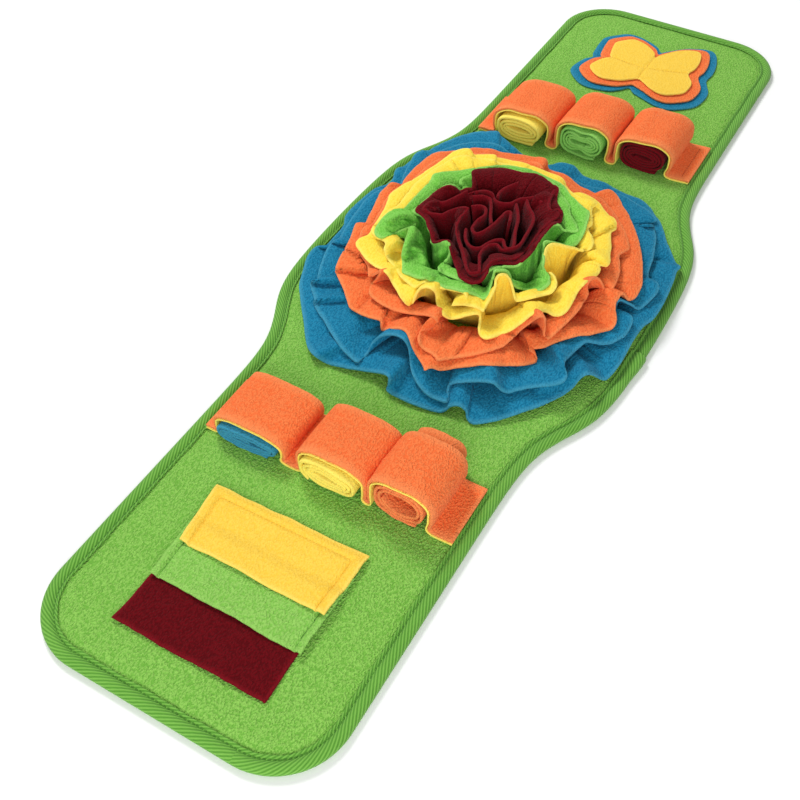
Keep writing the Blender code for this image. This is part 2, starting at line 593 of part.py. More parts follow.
def make_rolls():
    """One wound solid in each loop, its flat lowest turn on the mat."""
    for strap, loop, name, colour, past_near, past_far, core in ROLLS:
        edges = {s[0]: s[1:] for s in STRAPS}[strap]
        left, right, near_top, far_top = LOOPS[strap][loop]
        ends = [roll_section(left, right, top, core) for top in (near_top, far_top)]
        middle = (left + right) / 2 * MM
        near = edges[0] + edges[2] * middle - past_near * MM
        far = edges[1] + edges[2] * middle + past_far * MM
        count = len(ends[0])
        vertices = [(x, y, z) for y, end in zip((near, far), ends) for x, z in end]
        faces = ring_faces(2, count)[:count]
        if core:
            half = count // 2
            for i in range(half - 1):
                a, b = i, count - 1 - i
                faces.append((a, b, b - 1, a + 1))
                faces.append((count + a, count + a + 1, count + b - 1, count + b))
        else:
            faces.append(tuple(reversed(range(count))))
            faces.append(tuple(range(count, 2 * count)))
        outward(add_object(name, vertices, faces, colour))


# --------------------------------------------------------------------- flaps and butterfly
def make_flaps():
    """Three sheets, each lying on the mat at its sewn edge and then over the next flap."""
    step_up = FLEECE + 2 * GAP
    climb, lead = 12 * MM, 11 * MM
    for order, (name, colour, left, right, sewn, free, lift) in enumerate(FLAPS):
        across = np.linspace(0.0, 1.0, FLAP_COLUMNS)
        along = np.linspace(0.0, 1.0, FLAP_ROWS)
        y = (sewn + (free - sewn) * along) * MM
        level = np.full(FLAP_ROWS, SHEET_REST)
        for lower in FLAPS[:order]:
            level += step_up * smooth((lower[4] * MM + climb + lead - y) / climb)
        wave = lift * MM * along[None, :] ** 3 * (0.5 + 0.5 * np.cos(
            2 * math.pi * (1.5 * across[:, None] + 0.2 * order)))
        grid = np.zeros((FLAP_COLUMNS, FLAP_ROWS, 3))
        grid[..., 0] = (left + (right - left) * across[:, None]) * MM
        grid[..., 1] = y[None, :]
        grid[..., 2] = level[None, :] + wave
        outward(sheet(name, grid, FLEECE, colour))


def make_butterfly():
    """Three flat layers of one winged outline, each wider than the one above."""
    for name, colour, margin, height in BUTTERFLY_LAYERS:
        knots = [((reach + margin) * math.cos(math.radians(angle)),
                  (reach + margin) * math.sin(math.radians(angle)))
                 for angle, reach in BUTTERFLY]
        outline = spline(knots, BUTTERFLY_STEPS, closed=True)
        edge = (outline + np.array(BUTTERFLY_MIDDLE)) * MM
        count = len(edge)
        bottom = MAT_TOP + height
        vertices = [(x, y, z) for z in (bottom, bottom + FLEECE) for x, y in edge]
        faces = ring_faces(2, count)[:count]
        faces.append(tuple(reversed(range(count))))
        faces.append(tuple(range(count, 2 * count)))
        outward(add_object(name, vertices, faces, colour))


def main():
    """Clear the scene and make every piece."""
    for thing in list(bpy.data.objects):
        bpy.data.objects.remove(thing)
    outline = mat_outline()
    make_mat(outline)
    make_binding(outline)
    make_flower()
    make_heart()
    make_straps()
    make_rolls()
    make_flaps()
    make_butterfly()


main()
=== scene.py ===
"""The looks of a snuffle mat: a bound fleece mat with a ruffled flower in its middle, two
looped straps that hold rolls of fleece, three stacked flaps and a butterfly.

Everything is in metres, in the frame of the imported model: x across the mat, y along it from
the flaps towards the butterfly, z up from the mat's underside. Names that end in _mm and the
tables are in millimetres. A rim of the flower is a table of the places where it is seen on a
level plane; its heights are worked out from how it waves: see Ruffle.rim_line.
"""

import logging
import math
from dataclasses import dataclass, field
from enum import Enum

import bpy
import numpy as np
from mathutils import Matrix, Vector

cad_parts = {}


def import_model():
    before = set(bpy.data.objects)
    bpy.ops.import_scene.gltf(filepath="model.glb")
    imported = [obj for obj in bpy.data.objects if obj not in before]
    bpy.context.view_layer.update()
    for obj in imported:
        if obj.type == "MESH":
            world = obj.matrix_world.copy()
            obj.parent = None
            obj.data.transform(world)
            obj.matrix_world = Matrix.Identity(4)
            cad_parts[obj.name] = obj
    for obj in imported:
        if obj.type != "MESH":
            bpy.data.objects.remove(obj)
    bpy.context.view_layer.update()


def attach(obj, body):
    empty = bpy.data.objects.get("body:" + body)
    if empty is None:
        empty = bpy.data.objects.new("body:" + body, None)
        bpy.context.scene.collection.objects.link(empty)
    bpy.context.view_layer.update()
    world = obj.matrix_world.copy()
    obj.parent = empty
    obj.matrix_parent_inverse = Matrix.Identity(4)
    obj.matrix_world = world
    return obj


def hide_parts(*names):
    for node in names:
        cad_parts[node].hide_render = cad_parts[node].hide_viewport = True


MM = 0.001
Array = np.ndarray
Colour = tuple[float, float, float]
log = logging.getLogger("snuffle_mat")


# ----------------------------------------------------------------- small maths
UP = np.array((0.0, 0.0, 1.0))
SPAN_POINTS = 24    # points of a curve from one knot to the next


def smooth(t: Array | float) -> Array:
    """Ease from 0 to 1 with level ends.

    Args:
        t: how far along, cut off at 0 and 1.

    Returns:
        3 t squared less 2 t cubed.
    """
    t = np.clip(t, 0.0, 1.0)
    return t * t * (3.0 - 2.0 * t)


def unit(vectors: Array) -> Array:
    """The vectors of the last axis at unit length."""
    return vectors / np.maximum(np.linalg.norm(vectors, axis=-1, keepdims=True), 1e-12)


def bell(distance: Array) -> Array:
    """1 at no distance, and less with the exponential of its square."""
    return np.exp(-distance ** 2)


def between(first: Array | float, second: Array | float, share: Array) -> Array:
    """What lies the given share of the way from the first to the second."""
    return first + (second - first) * share


def crowded(count: int, share: float) -> Array:
    """Numbers from -1 to 1, closer at both ends: the given share of a sine, the rest even."""
    t = np.linspace(-1.0, 1.0, count)
    return share * np.sin(t * math.pi / 2) + (1.0 - share) * t


def metres(rows_mm: tuple) -> Array:
    """A table in millimetres as an array in metres."""
    return np.array(rows_mm, dtype=float) * MM


def raised(flat: Array, height: Array | float) -> Array:
    """Places in space from places on the mat, x and y in the last axis, and their heights."""
    return np.concatenate([flat, np.broadcast_to(height, flat.shape[:-1])[..., None]], axis=-1)


def run_along(line: Array) -> Array:
    """How far each point of an open line is from its start, along the line."""
    return np.concatenate([[0.0], np.cumsum(np.linalg.norm(np.diff(line, axis=0), axis=1))])


def steps_round(ring: Array) -> Array:
    """How far each point of a closed line is from the next."""
    return np.linalg.norm(np.roll(ring, -1, axis=0) - ring, axis=1)


def heading(ring: Array) -> Array:
    """The way from the point before to the point after each point of a closed line."""
    return np.roll(ring, -1, axis=0) - np.roll(ring, 1, axis=0)


def inwards_of(ring: Array) -> Array:
    """Unit directions towards the inside of a counterclockwise line round the mat."""
    along = unit(heading(ring))
    return np.column_stack([-along[:, 1], along[:, 0]])


def blurred(values: Array) -> Array:
    """Each value averaged with its two neighbours round a ring, its own share one half."""
    return 0.5 * values + 0.25 * (np.roll(values, 1, axis=0) + np.roll(values, -1, axis=0))


def catmull_rom(knots: Array, steps: int, closed: bool) -> Array:
    """A curve that passes through every knot.

    Each span is the cubic whose slope at a knot is half the way from the knot before to the
    knot after.

    Args:
        knots: the points, one a row.
        steps: how many points each span gets.
        closed: whether the last knot joins the first.

    Returns:
        The curve's points, one a row.
    """
    if closed:
        padded = np.vstack([knots[-1], knots, knots[:2]])
    else:
        padded = np.vstack([2 * knots[0] - knots[1], knots, 2 * knots[-1] - knots[-2]])
    before, here, after, beyond = padded[:-3], padded[1:-2], padded[2:-1], padded[3:]
    t = np.arange(steps)[None, :, None] / steps
    spans = 0.5 * (2 * here[:, None] + (after - before)[:, None] * t
                   + (2 * before - 5 * here + 4 * after - beyond)[:, None] * t ** 2
                   + (3 * here - before - 3 * after + beyond)[:, None] * t ** 3)
    line = spans.reshape(-1, knots.shape[1])
    return line if closed else np.vstack([line, knots[-1]])


def even(points: Array, count: int, closed: bool) -> Array:
    """The same line with points evenly spaced along it.

    Args:
        points: the line's points, one a row.
        count: how many points to give.
        closed: whether the last point joins the first.

    Returns:
        Points read off at equal steps of the line's length.
    """
    line = np.vstack([points, points[:1]]) if closed else points
    length = run_along(line)
    at = np.linspace(0.0, length[-1], count, endpoint=not closed)
    return np.column_stack([np.interp(at, length, line[:, i]) for i in range(line.shape[1])])


def curve(knots: Array | tuple, count: int, closed: bool = False) -> Array:
    """Evenly spaced points of the curve through the knots."""
    knots = np.asarray(knots, dtype=float)
    return even(catmull_rom(knots, SPAN_POINTS, closed), count, closed)


def softened(ring: Array, reach: float, step: float = 0.0) -> Array:
    """A closed line with its small bends taken out.

    The line's points are blurred round the ring with a bell curve, as a product of their
    spectrum with the bell's.

    Args:
        ring: evenly spaced points of a closed line.
        reach: the bell's half width, along the line.
        step: how far apart the points are, or 0 to measure it.

    Returns:
        The blurred points.
    """
    step = step or steps_round(ring).mean()
    turns = np.fft.fftfreq(len(ring))
    fade = np.exp(-2.0 * (math.pi * turns * reach / step) ** 2)
    return np.fft.ifft(np.fft.fft(ring, axis=0) * fade[:, None], axis=0).real


def uneven(points: Array, size: float, seed: float) -> Array:
    """A gentle unevenness between -1 and 1 that never repeats, for hand-sewn cloth.

    Four sine waves run across each other in fixed directions, each shorter and weaker than
    the one before.

    Args:
        points: places in space, in the last axis.
        size: the longest wave's length.
        seed: shifts the waves, so that two pieces differ.

    Returns:
        One value a point.
    """
    total = np.zeros(points.shape[:-1])
    for k in range(4):
        turn = seed + 2.4 * k
        across = np.array([math.cos(turn), math.sin(turn), 0.6 * math.cos(3 * turn)])
        total += np.sin(2 * math.pi * (points @ across) * 1.7 ** k / size + turn * 5) / 1.4 ** k
    return total / 2.4


# ---------------------------------------------------------------------- meshes
@dataclass
class Skin:
    """The vertices and faces of a piece, with what its finish reads.

    Attributes:
        points: vertices, one a row.
        faces: arrays of vertex numbers, each array with faces of one size.
        edge: for each vertex, 1 on a cut edge and 0 away from it: where the fleece shows the edge's
            fuzz and painted highlight.
        cloth: for each vertex, its place on the flat cloth, in metres.
        around: the length after which the cloth joins its own start, or 0.
    """

    points: Array
    faces: list[Array]
    edge: Array
    cloth: Array
    around: float = 0.0

    def corner_cloth(self) -> Array:
        """The place on the flat cloth of every face's corners, carried on past the join."""
        corners = []
        for faces in self.faces:
            place = self.cloth[faces]
            along = place[..., 0]
            if self.around:
                behind = along.max(axis=1, keepdims=True) - along > self.around / 2
                place[..., 0] = along + self.around * behind
            corners.append(place.reshape(-1, 2))
        return np.vstack(corners)


def joined(skins: list[Skin]) -> Skin:
    """Several skins as one."""
    firsts = np.cumsum([0] + [len(skin.points) for skin in skins])
    faces = [part + first for skin, first in zip(skins, firsts) for part in skin.faces]
    points, cloth = (np.vstack([getattr(skin, what) for skin in skins])
                     for what in ("points", "cloth"))
    return Skin(points, faces, np.concatenate([skin.edge for skin in skins]), cloth)


def quads(index: Array, rows_close: bool = False, columns_close: bool = False) -> Array:
    """Faces between the neighbours of a grid of vertex numbers, or of many grids.

    Args:
        index: vertex numbers [..., row, column].
        rows_close: whether the last row joins the first.
        columns_close: whether the last column joins the first.

    Returns:
        One face a row, counterclockwise seen against row direction cross column direction.
    """
    if rows_close:
        index = np.concatenate([index, index[..., :1, :]], axis=-2)
    if columns_close:
        index = np.concatenate([index, index[..., :1]], axis=-1)
    here, beside = index[..., :-1], index[..., 1:]
    corners = (here[..., :-1, :], here[..., 1:, :], beside[..., 1:, :], beside[..., :-1, :])
    return np.stack(corners, axis=-1).reshape(-1, 4)


def normals(grid: Array, ring: bool) -> Array:
    """Unit normals of a grid of points, row direction cross column direction."""
    along = heading(grid) if ring else np.gradient(grid, axis=0)
    return unit(np.cross(along, np.gradient(grid, axis=1)))


def run_length(grid: Array, axis: int) -> Array:
    """How far each grid point is from the start of its row or column, along the grid."""
    steps = np.linalg.norm(np.diff(grid, axis=axis), axis=2)
    start = np.zeros_like(np.take(steps, [0], axis=axis))
    return np.concatenate([start, np.cumsum(steps, axis=axis)], axis=axis)


def off_border(shape: tuple[int, int], ring: bool) -> Array:
    """Which points of a grid are off its open borders; the rows have none in a ring."""
    inner = np.ones(shape, dtype=bool)
    inner[:, 0] = inner[:, -1] = False
    if not ring:
        inner[0] = inner[-1] = False
    return inner


def paired(top: Array, bottom: Array, ring: bool) -> tuple[Array, list[Array]]:
    """A closed skin from two grids that meet along their open borders.

    Args:
        top: points of the side that faces row direction cross column direction.
        bottom: points of the other side, the same as top's along each open border.
        ring: whether the rows close into a ring.

    Returns:
        The points, and the faces of both sides.
    """
    rows, columns = top.shape[:2]
    upper = np.arange(rows * columns).reshape(rows, columns)
    own = off_border((rows, columns), ring)
    lower = upper.copy()
    lower[own] = rows * columns + np.arange(own.sum())
    points = np.vstack([top.reshape(-1, 3), bottom[own]])
    return points, [quads(upper, ring), quads(lower, ring)[:, ::-1]]


EDGE_TURNS = np.linspace(0.0, math.pi / 2, 4)[1:]   # steps of a cut edge's rounding
# the edge mark sets where a cut edge shows its lighter fuzz and a painted highlight
EDGE_FADE = 1.6 * MM                                # how far the edge mark reaches in


def sheet_skin(middle: Array, thickness: float, ring: bool = False) -> Skin:
    """A sheet of cloth with rounded cut edges.

    The skin lies half the thickness off the middle surface on both sides. Past an open
    border it turns through a quarter circle: at angle a it stands sin(a) of half the
    thickness outwards, and cos(a) of it off the middle.

    Args:
        middle: the middle surface, [row, column, xyz].
        thickness: the cloth's thickness.
        ring: whether the rows close into a ring.

    Returns:
        The closed skin, with its edge mark and its place on the flat cloth.
    """
    half = np.full(middle.shape[:2] + (1,), thickness / 2)
    lift = normals(middle, ring) * half
    arc = run_length(middle, 1)
    inset = np.minimum(arc, arc[:, -1:] - arc)
    if not ring:
        row_arc = run_length(middle, 0)
        inset = np.minimum(inset, np.minimum(row_arc, row_arc[-1:] - row_arc))
    for axis in ((1,) if ring else (1, 0)):
        middle, lift, half, inset = rounded(axis, middle, lift, half, inset)
    points, faces = paired(middle + lift, middle - lift, ring)
    mark = bell(inset / EDGE_FADE)
    cloth = np.stack([run_length(middle, 0), run_length(middle, 1)], axis=2)
    own = off_border(middle.shape[:2], ring)
    edge = np.concatenate([mark.ravel(), mark[own]])
    return Skin(points, faces, edge, np.vstack([cloth.reshape(-1, 2), cloth[own]]))


def rounded(axis: int, *grids: Array) -> tuple[Array, ...]:
    """Adds the quarter-circle steps of sheet_skin past both borders of one axis.

    Args:
        axis: the axis.
        grids: the middle surface, the lift off it, half the thickness, and the inset.

    Returns:
        The same four grids with the steps at both ends.
    """
    middle, lift, half, inset = (np.moveaxis(grid, axis, 0) for grid in grids)
    sine, cosine = np.sin(EDGE_TURNS)[:, None, None], np.cos(EDGE_TURNS)[:, None, None]
    cosine[-1] = 0.0
    parts = []
    for end, inner in ((0, 1), (-1, -2)):
        outwards = unit(middle[end] - middle[inner])
        past = middle[end] + sine * (half[end] * outwards)[None]
        down = cosine * lift[end][None]
        flat = np.repeat(half[end][None], len(EDGE_TURNS), axis=0)
        none = np.zeros((len(EDGE_TURNS), inset.shape[1]))
        parts.append((past, down, flat, none))
    before, after = parts
    grown = [np.concatenate([b[::-1], a, c], axis=0)
             for b, a, c in zip(before, (middle, lift, half, inset), after)]
    return tuple(np.moveaxis(a, 0, axis) for a in grown)


def tube_skin(section_rings: Array, cloth: Array, around: float) -> Skin:
    """A closed section carried round a closed path.

    Args:
        section_rings: points [place on the path, place on the section, xyz].
        cloth: the flat cloth's place of each of them.
        around: the path's length.

    Returns:
        The closed skin.
    """
    count = section_rings.shape[0] * section_rings.shape[1]
    index = np.arange(count).reshape(section_rings.shape[:2])
    faces = [quads(index, True, True)]
    return Skin(section_rings.reshape(-1, 3), faces, np.zeros(count), cloth.reshape(-1, 2),
                around)


def disc_skin(rings: Array, underside: Array) -> Skin:
    """A flat piece of cloth from rings of points that shrink onto its middle.

    Args:
        rings: the top side's points [ring, angle, xyz], from the cut edge to the middle;
            the last ring is one place.
        underside: the same for the bottom, sharing its first ring with the top.

    Returns:
        The closed skin.
    """
    count = rings.shape[1]
    last = len(rings) - 1
    upper = np.arange(last * count).reshape(last, count)
    lower = upper + (last - 1) * count
    lower[0] = upper[0]
    top_pole = int(lower.max()) + 1
    points = np.vstack([rings[:-1].reshape(-1, 3), underside[1:-1].reshape(-1, 3),
                        rings[-1, :1], underside[-1, :1]])
    turned = np.roll(upper[-1], -1)
    fan = np.column_stack([upper[-1], turned, np.full(count, top_pole)])
    under_fan = np.column_stack([np.roll(lower[-1], -1), lower[-1],
                                 np.full(count, top_pole + 1)])
    faces = [quads(upper, False, True)[:, ::-1], quads(lower, False, True), fan, under_fan]
    inset = np.linalg.norm(rings - rings[:1], axis=2)
    mark = bell(inset / EDGE_FADE)
    edge = np.concatenate([mark[:-1].ravel(), mark[1:-1].ravel(), [0.0, 0.0]])
    return Skin(points, faces, edge, points[:, :2].copy())


STITCH_STEPS = 6    # rings along a stitch, and points round each ring


def stitch_skin(starts: Array, ends: Array, radius: float) -> Skin:
    """Many short stitches in level cloth: each a bowed thread that dives in at both ends.

    A stitch's middle line rises off the cloth as a sine over its length, and its radius is a
    half ellipse along it.

    Args:
        starts: where each stitch starts, one a row.
        ends: where each ends.
        radius: the thread's radius.

    Returns:
        One joined skin.
    """
    share = np.linspace(0.0, 1.0, STITCH_STEPS)[None, :, None, None]
    turn = np.linspace(0.0, 2 * math.pi, STITCH_STEPS, endpoint=False)[None, None, :, None]
    span = (ends - starts)[:, None, None, :]
    side = unit(np.cross(span, UP))
    girth = radius * np.sqrt(np.clip(1.0 - (2 * share - 1) ** 2, 0.03, 1.0))
    bow = radius * (0.9 * np.sin(math.pi * share) - 0.4)
    points = (starts[:, None, None, :] + span * share + UP * bow
              + girth * (np.cos(turn) * side + np.sin(turn) * UP))
    index = np.arange(points.size // 3).reshape(points.shape[:3])
    caps = np.vstack([index[:, 0], index[:, -1, ::-1]])
    points = points.reshape(-1, 3)
    sides = np.roll(quads(index, columns_close=True), -1, axis=1)
    return Skin(points, [sides, caps], np.zeros(len(points)),
                points[:, :2].copy())


def seam(line: Array, pitch: float, length: float, radius: float) -> Skin:
    """Stitches along an open line in level cloth.

    Args:
        line: the line's points in space.
        pitch: from the start of one stitch to the next.
        length: how long a stitch is.
        radius: the thread's radius.

    Returns:
        The stitches as one skin.
    """
    run = run_along(line)
    first = np.arange(0.0, run[-1] - length, pitch)
    starts, ends = (np.column_stack([np.interp(at, run, line[:, i]) for i in range(3)])
                    for at in (first, first + length))
    return stitch_skin(starts, ends, radius)


# -------------------------------------------------------------------- finishes
class Slot(Enum):
    """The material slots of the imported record."""

    MAT = "mat"
    BINDING = "binding"
    BLUE = "blue"
    ORANGE = "orange"
    YELLOW = "yellow"
    GREEN = "green"
    MAROON = "maroon"


def linear(colour: Colour) -> tuple[float, float, float, float]:
    """A shader colour from the 0 to 255 values of a screen."""
    share = np.array(colour) / 255.0
    low, high = share / 12.92, ((share + 0.055) / 1.055) ** 2.4
    return (*(float(c) for c in np.where(share <= 0.04045, low, high)), 1.0)


class Graph:
    """A material's nodes, with one method that adds any of them."""

    def __init__(self, name: str) -> None:
        self.material = bpy.data.materials.new(name)
        self.material.use_nodes = True
        self.nodes = self.material.node_tree.nodes
        self.links = self.material.node_tree.links
        self.nodes.clear()

    def node(self, kind: str, sockets: dict | None = None,
             **settings: object) -> bpy.types.Node:
        """Adds a node.

        Args:
            kind: the node's type, without its leading ShaderNode.
            sockets: a value, colour or Wire for each input, by name or number.
            settings: its own settings, set first.

        Returns:
            The node.
        """
        node = self.nodes.new("ShaderNode" + kind)
        for key, value in settings.items():
            setattr(node, key, value)
        for key, value in (sockets or {}).items():
            if isinstance(value, Wire):
                self.links.new(value.socket, node.inputs[key])
            else:
                node.inputs[key].default_value = value
        return node

    def wire(self, kind: str, sockets: dict | None = None, output: str | int = 0,
             **settings: object) -> "Wire":
        """Adds a node and gives one of its outputs."""
        return Wire(self, self.node(kind, sockets, **settings).outputs[output])

    def noise(self, place: "Wire", scale: float, detail: float = 1.0,
              output: str | int = 0) -> "Wire":
        """Noise of so many waves a metre: its value, or its colour where that is named."""
        return self.wire("TexNoise", {"Vector": place, "Scale": scale, "Detail": detail}, output)

    def bump(self, height: "Wire", depth: float, strength: float = 1.0) -> "Wire":
        """The normal of a relief whose height from 0 to 1 is so many metres deep."""
        return self.wire("Bump", {"Height": height, "Distance": depth, "Strength": strength})

    def blend(self, share: "Wire | float", first: "Wire | tuple",
              second: "Wire | tuple") -> "Wire":
        """A colour between two, the first at share 0 and the second at share 1."""
        return self.wire("Mix", {0: share, 6: first, 7: second}, 2, data_type="RGBA")

    def surface(self, sockets: dict) -> bpy.types.Material:
        """Ends the tree in a Principled shader with these sockets, and gives the material."""
        self.node("OutputMaterial", {"Surface": self.wire("BsdfPrincipled", sockets)})
        return self.material


class Wire:
    """An output of a node. Arithmetic on it adds the Math nodes that work it out."""

    def __init__(self, graph: Graph, socket: bpy.types.NodeSocket) -> None:
        self.graph = graph
        self.socket = socket

    def math(self, operation: str, *others: "Wire | float") -> "Wire":
        """The result of a Math node with this wire as its first value."""
        return self.graph.wire("Math", dict(enumerate((self, *others))), operation=operation)

    def __add__(self, other: "Wire | float") -> "Wire":
        return self.math("ADD", other)

    def __mul__(self, other: "Wire | float") -> "Wire":
        return self.math("MULTIPLY", other)

    def __sub__(self, other: "Wire | float") -> "Wire":
        return self.math("SUBTRACT", other)

    def __rsub__(self, other: float) -> "Wire":
        return self.math("MULTIPLY", -1.0) + other

    __radd__ = __add__
    __rmul__ = __mul__

    def ease(self, low: float, high: float) -> "Wire":
        """0 below low, 1 above high, and a soft step between."""
        sockets = {"Value": self, "From Min": low, "From Max": high}
        return self.graph.wire("MapRange", sockets, interpolation_type="SMOOTHSTEP")


@dataclass(frozen=True)
class Fleece:
    """Brushed fleece whose pile has rolled up into small pebbles.

    Attributes:
        name: the material's name.
        lit: screen colour of the pebbles' tops, with painted light.
        deep: screen colour between them, painted shade in the hollows.
        rim: screen colour of a cut edge: its lighter fuzz and a painted highlight.
        pebble: how wide a pebble is.
        depth: how deep the hollows between them are.
        sheen: how much light the pile catches at a low angle.
        rim_fuzz_and_highlight_share: how much of the cut edge's colour, its fuzz and painted
            highlight, shows.
    """

    name: str
    lit: Colour
    deep: Colour
    rim: Colour
    pebble: float = 1.5 * MM
    depth: float = 0.8 * MM
    sheen: float = 0.04
    rim_fuzz_and_highlight_share: float = 0.55

    def material(self) -> bpy.types.Material:
        """Rounded cells, bent by a slower noise and stretched one way, with fuzz; painted light and
        shade follow them.
        """
        graph = Graph(self.name)
        place = graph.wire("TexCoord", output="Object")
        bend = graph.noise(place, 0.45 / self.pebble, output="Color")
        bend_amount = (self.pebble * 0.7,) * 3
        shift = graph.wire("VectorMath", {0: bend, 1: bend_amount}, operation="MULTIPLY")
        bent = graph.wire("VectorMath", {0: place, 1: shift}, operation="ADD")
        turned = graph.wire("Mapping", {"Vector": bent, "Rotation": (0.3, 0.2, 0.5),
                                        "Scale": (1.0, 0.62, 0.8)})
        cell = {"Vector": turned, "Scale": 1.0 / self.pebble, "Smoothness": 0.35}
        cells = graph.wire("TexVoronoi", cell, "Distance", feature="SMOOTH_F1")
        fuzz = graph.noise(turned, 1.7 / self.pebble)
        patches = graph.noise(place, 22.0, 2.0)
        round_tops = 1.0 - cells.ease(0.1, 0.8)
        height = round_tops * 0.62 + fuzz.ease(0.25, 0.75) * 0.38
        # painted light on the pebbles' tops and painted shade between them, with random patches of
        # tone
        share = (height * 0.92 + patches * 0.08).ease(0.12, 0.62)
        # cut edges take the rim colour: their lighter fuzz together with a painted highlight
        cut = graph.wire("Attribute", output="Fac", attribute_name="edge")
        plain = graph.blend(share, linear(self.deep), linear(self.lit))
        return graph.surface({
            "Base Color": graph.blend(cut * self.rim_fuzz_and_highlight_share, plain, linear(self.rim)),
            "Normal": graph.bump(height, self.depth), "Roughness": 0.95,
            "Specular IOR Level": 0.08, "Sheen Weight": self.sheen, "Sheen Roughness": 0.5,
        })


@dataclass(frozen=True)
class Twill:
    """Woven tape with slanting ribs.

    Attributes:
        name: the material's name.
        lit: screen colour of the ribs, with painted light.
        deep: screen colour between them, painted shade in the hollows.
        pitch: from one rib to the next, along the tape.
        lean: how far a rib runs along the tape for each metre across it.
        depth: how deep the hollows between the ribs are.
    """

    name: str
    lit: Colour
    deep: Colour
    pitch: float = 5.2 * MM
    lean: float = -2.0
    depth: float = 0.45 * MM

    def material(self) -> bpy.types.Material:
        """Sine ribs on the tape's own map, broken by the weft and by a fine fuzz; painted light and
        shade follow them.
        """
        graph = Graph(self.name)
        place = graph.wire("UVMap", uv_map="cloth")
        parts = graph.node("SeparateXYZ", {0: place})
        along, across = (Wire(graph, parts.outputs[i]) for i in (0, 1))
        turn = 2 * math.pi / self.pitch
        ribs = ((along + across * self.lean) * turn).math("SINE") * 0.5 + 0.5
        weft = ((across - along * 0.2) * (turn * 3.6)).math("SINE") * 0.5 + 0.5
        spot = graph.wire("TexCoord", output="Object")
        fuzz, wear = graph.noise(spot, 900.0, 2.0), graph.noise(spot, 30.0, 2.0)
        height = ribs * 0.8 + weft * 0.08 + fuzz * 0.12
        # painted light on the ribs and painted shade between them, with random patches of wear
        share = (height * 0.85 + wear * 0.3).ease(0.15, 0.95)
        return graph.surface({
            "Base Color": graph.blend(share, linear(self.deep), linear(self.lit)),
            "Normal": graph.bump(height, self.depth), "Roughness": 0.8,
            "Specular IOR Level": 0.2, "Sheen Weight": 0.1, "Sheen Roughness": 0.5,
        })


@dataclass(frozen=True)
class Thread:
    """Sewing thread.

    Attributes:
        name: the material's name.
        lit: screen colour of the twist's ridges, with painted light.
        deep: screen colour between them, painted shade.
    """

    name: str
    lit: Colour
    deep: Colour

    def material(self) -> bpy.types.Material:
        """A fine noise stands for the twist, with painted light on its ridges and painted shade
        between them.
        """
        graph = Graph(self.name)
        twist = graph.noise(graph.wire("TexCoord", output="Object"), 2500.0)
        return graph.surface({
            "Base Color": graph.blend(twist.ease(0.3, 0.7), linear(self.deep), linear(self.lit)),
            "Normal": graph.bump(twist, 0.1 * MM, 0.6), "Roughness": 0.6,
            "Specular IOR Level": 0.3,
        })


# Each finish: its lit colour with painted light, then its colour with painted shade in the hollows; a
# fleece's third colour is its cut edge's fuzz with a painted highlight.
FLEECES = {
    Slot.MAT: Fleece("mat_fleece", (144, 201, 90), (110, 174, 63), (150, 205, 90),
                     depth=1.1 * MM),
    Slot.BLUE: Fleece("blue_fleece", (34, 133, 171), (13, 108, 145), (78, 162, 190)),
    Slot.ORANGE: Fleece("orange_fleece", (252, 130, 72), (243, 109, 54), (255, 156, 96),
                        depth=0.9 * MM),
    Slot.YELLOW: Fleece("yellow_fleece", (250, 209, 82), (245, 199, 66), (255, 226, 112),
                        depth=0.5 * MM),
    Slot.GREEN: Fleece("green_fleece", (136, 211, 90), (110, 191, 67), (168, 226, 122)),
    Slot.MAROON: Fleece("maroon_fleece", (103, 6, 16), (83, 2, 9), (132, 18, 30)),
}
PALE_GREEN = Fleece("pale_green_fleece", (150, 205, 98), (124, 188, 75), (156, 210, 104),
                    depth=1.0 * MM)
# a brighter copy of the yellow fleece: painted light for the yellow ruffle, rolls and strap lining
PAINTED_LIGHT_YELLOW = Fleece("painted_light_yellow_fleece", (255, 226, 84), (252, 213, 64), (255, 240, 124),
                     depth=0.5 * MM)
TWILL = Twill("binding_twill", (122, 182, 74), (80, 142, 42))
THREADS = {
    Slot.BINDING: Thread("binding_thread", (96, 156, 56), (56, 112, 30)),
    Slot.GREEN: Thread("green_thread", (104, 160, 64), (76, 128, 44)),
    Slot.YELLOW: Thread("yellow_thread", (244, 204, 72), (224, 178, 50)),
    Slot.ORANGE: Thread("orange_thread", (206, 84, 40), (168, 60, 26)),
}


def raised_look(slot: Slot) -> Fleece:
    """The fleece of gathered, rolled and folded pieces: where it is yellow, a brighter copy with
    painted light.
    """
    return PAINTED_LIGHT_YELLOW if slot is Slot.YELLOW else FLEECES[slot]


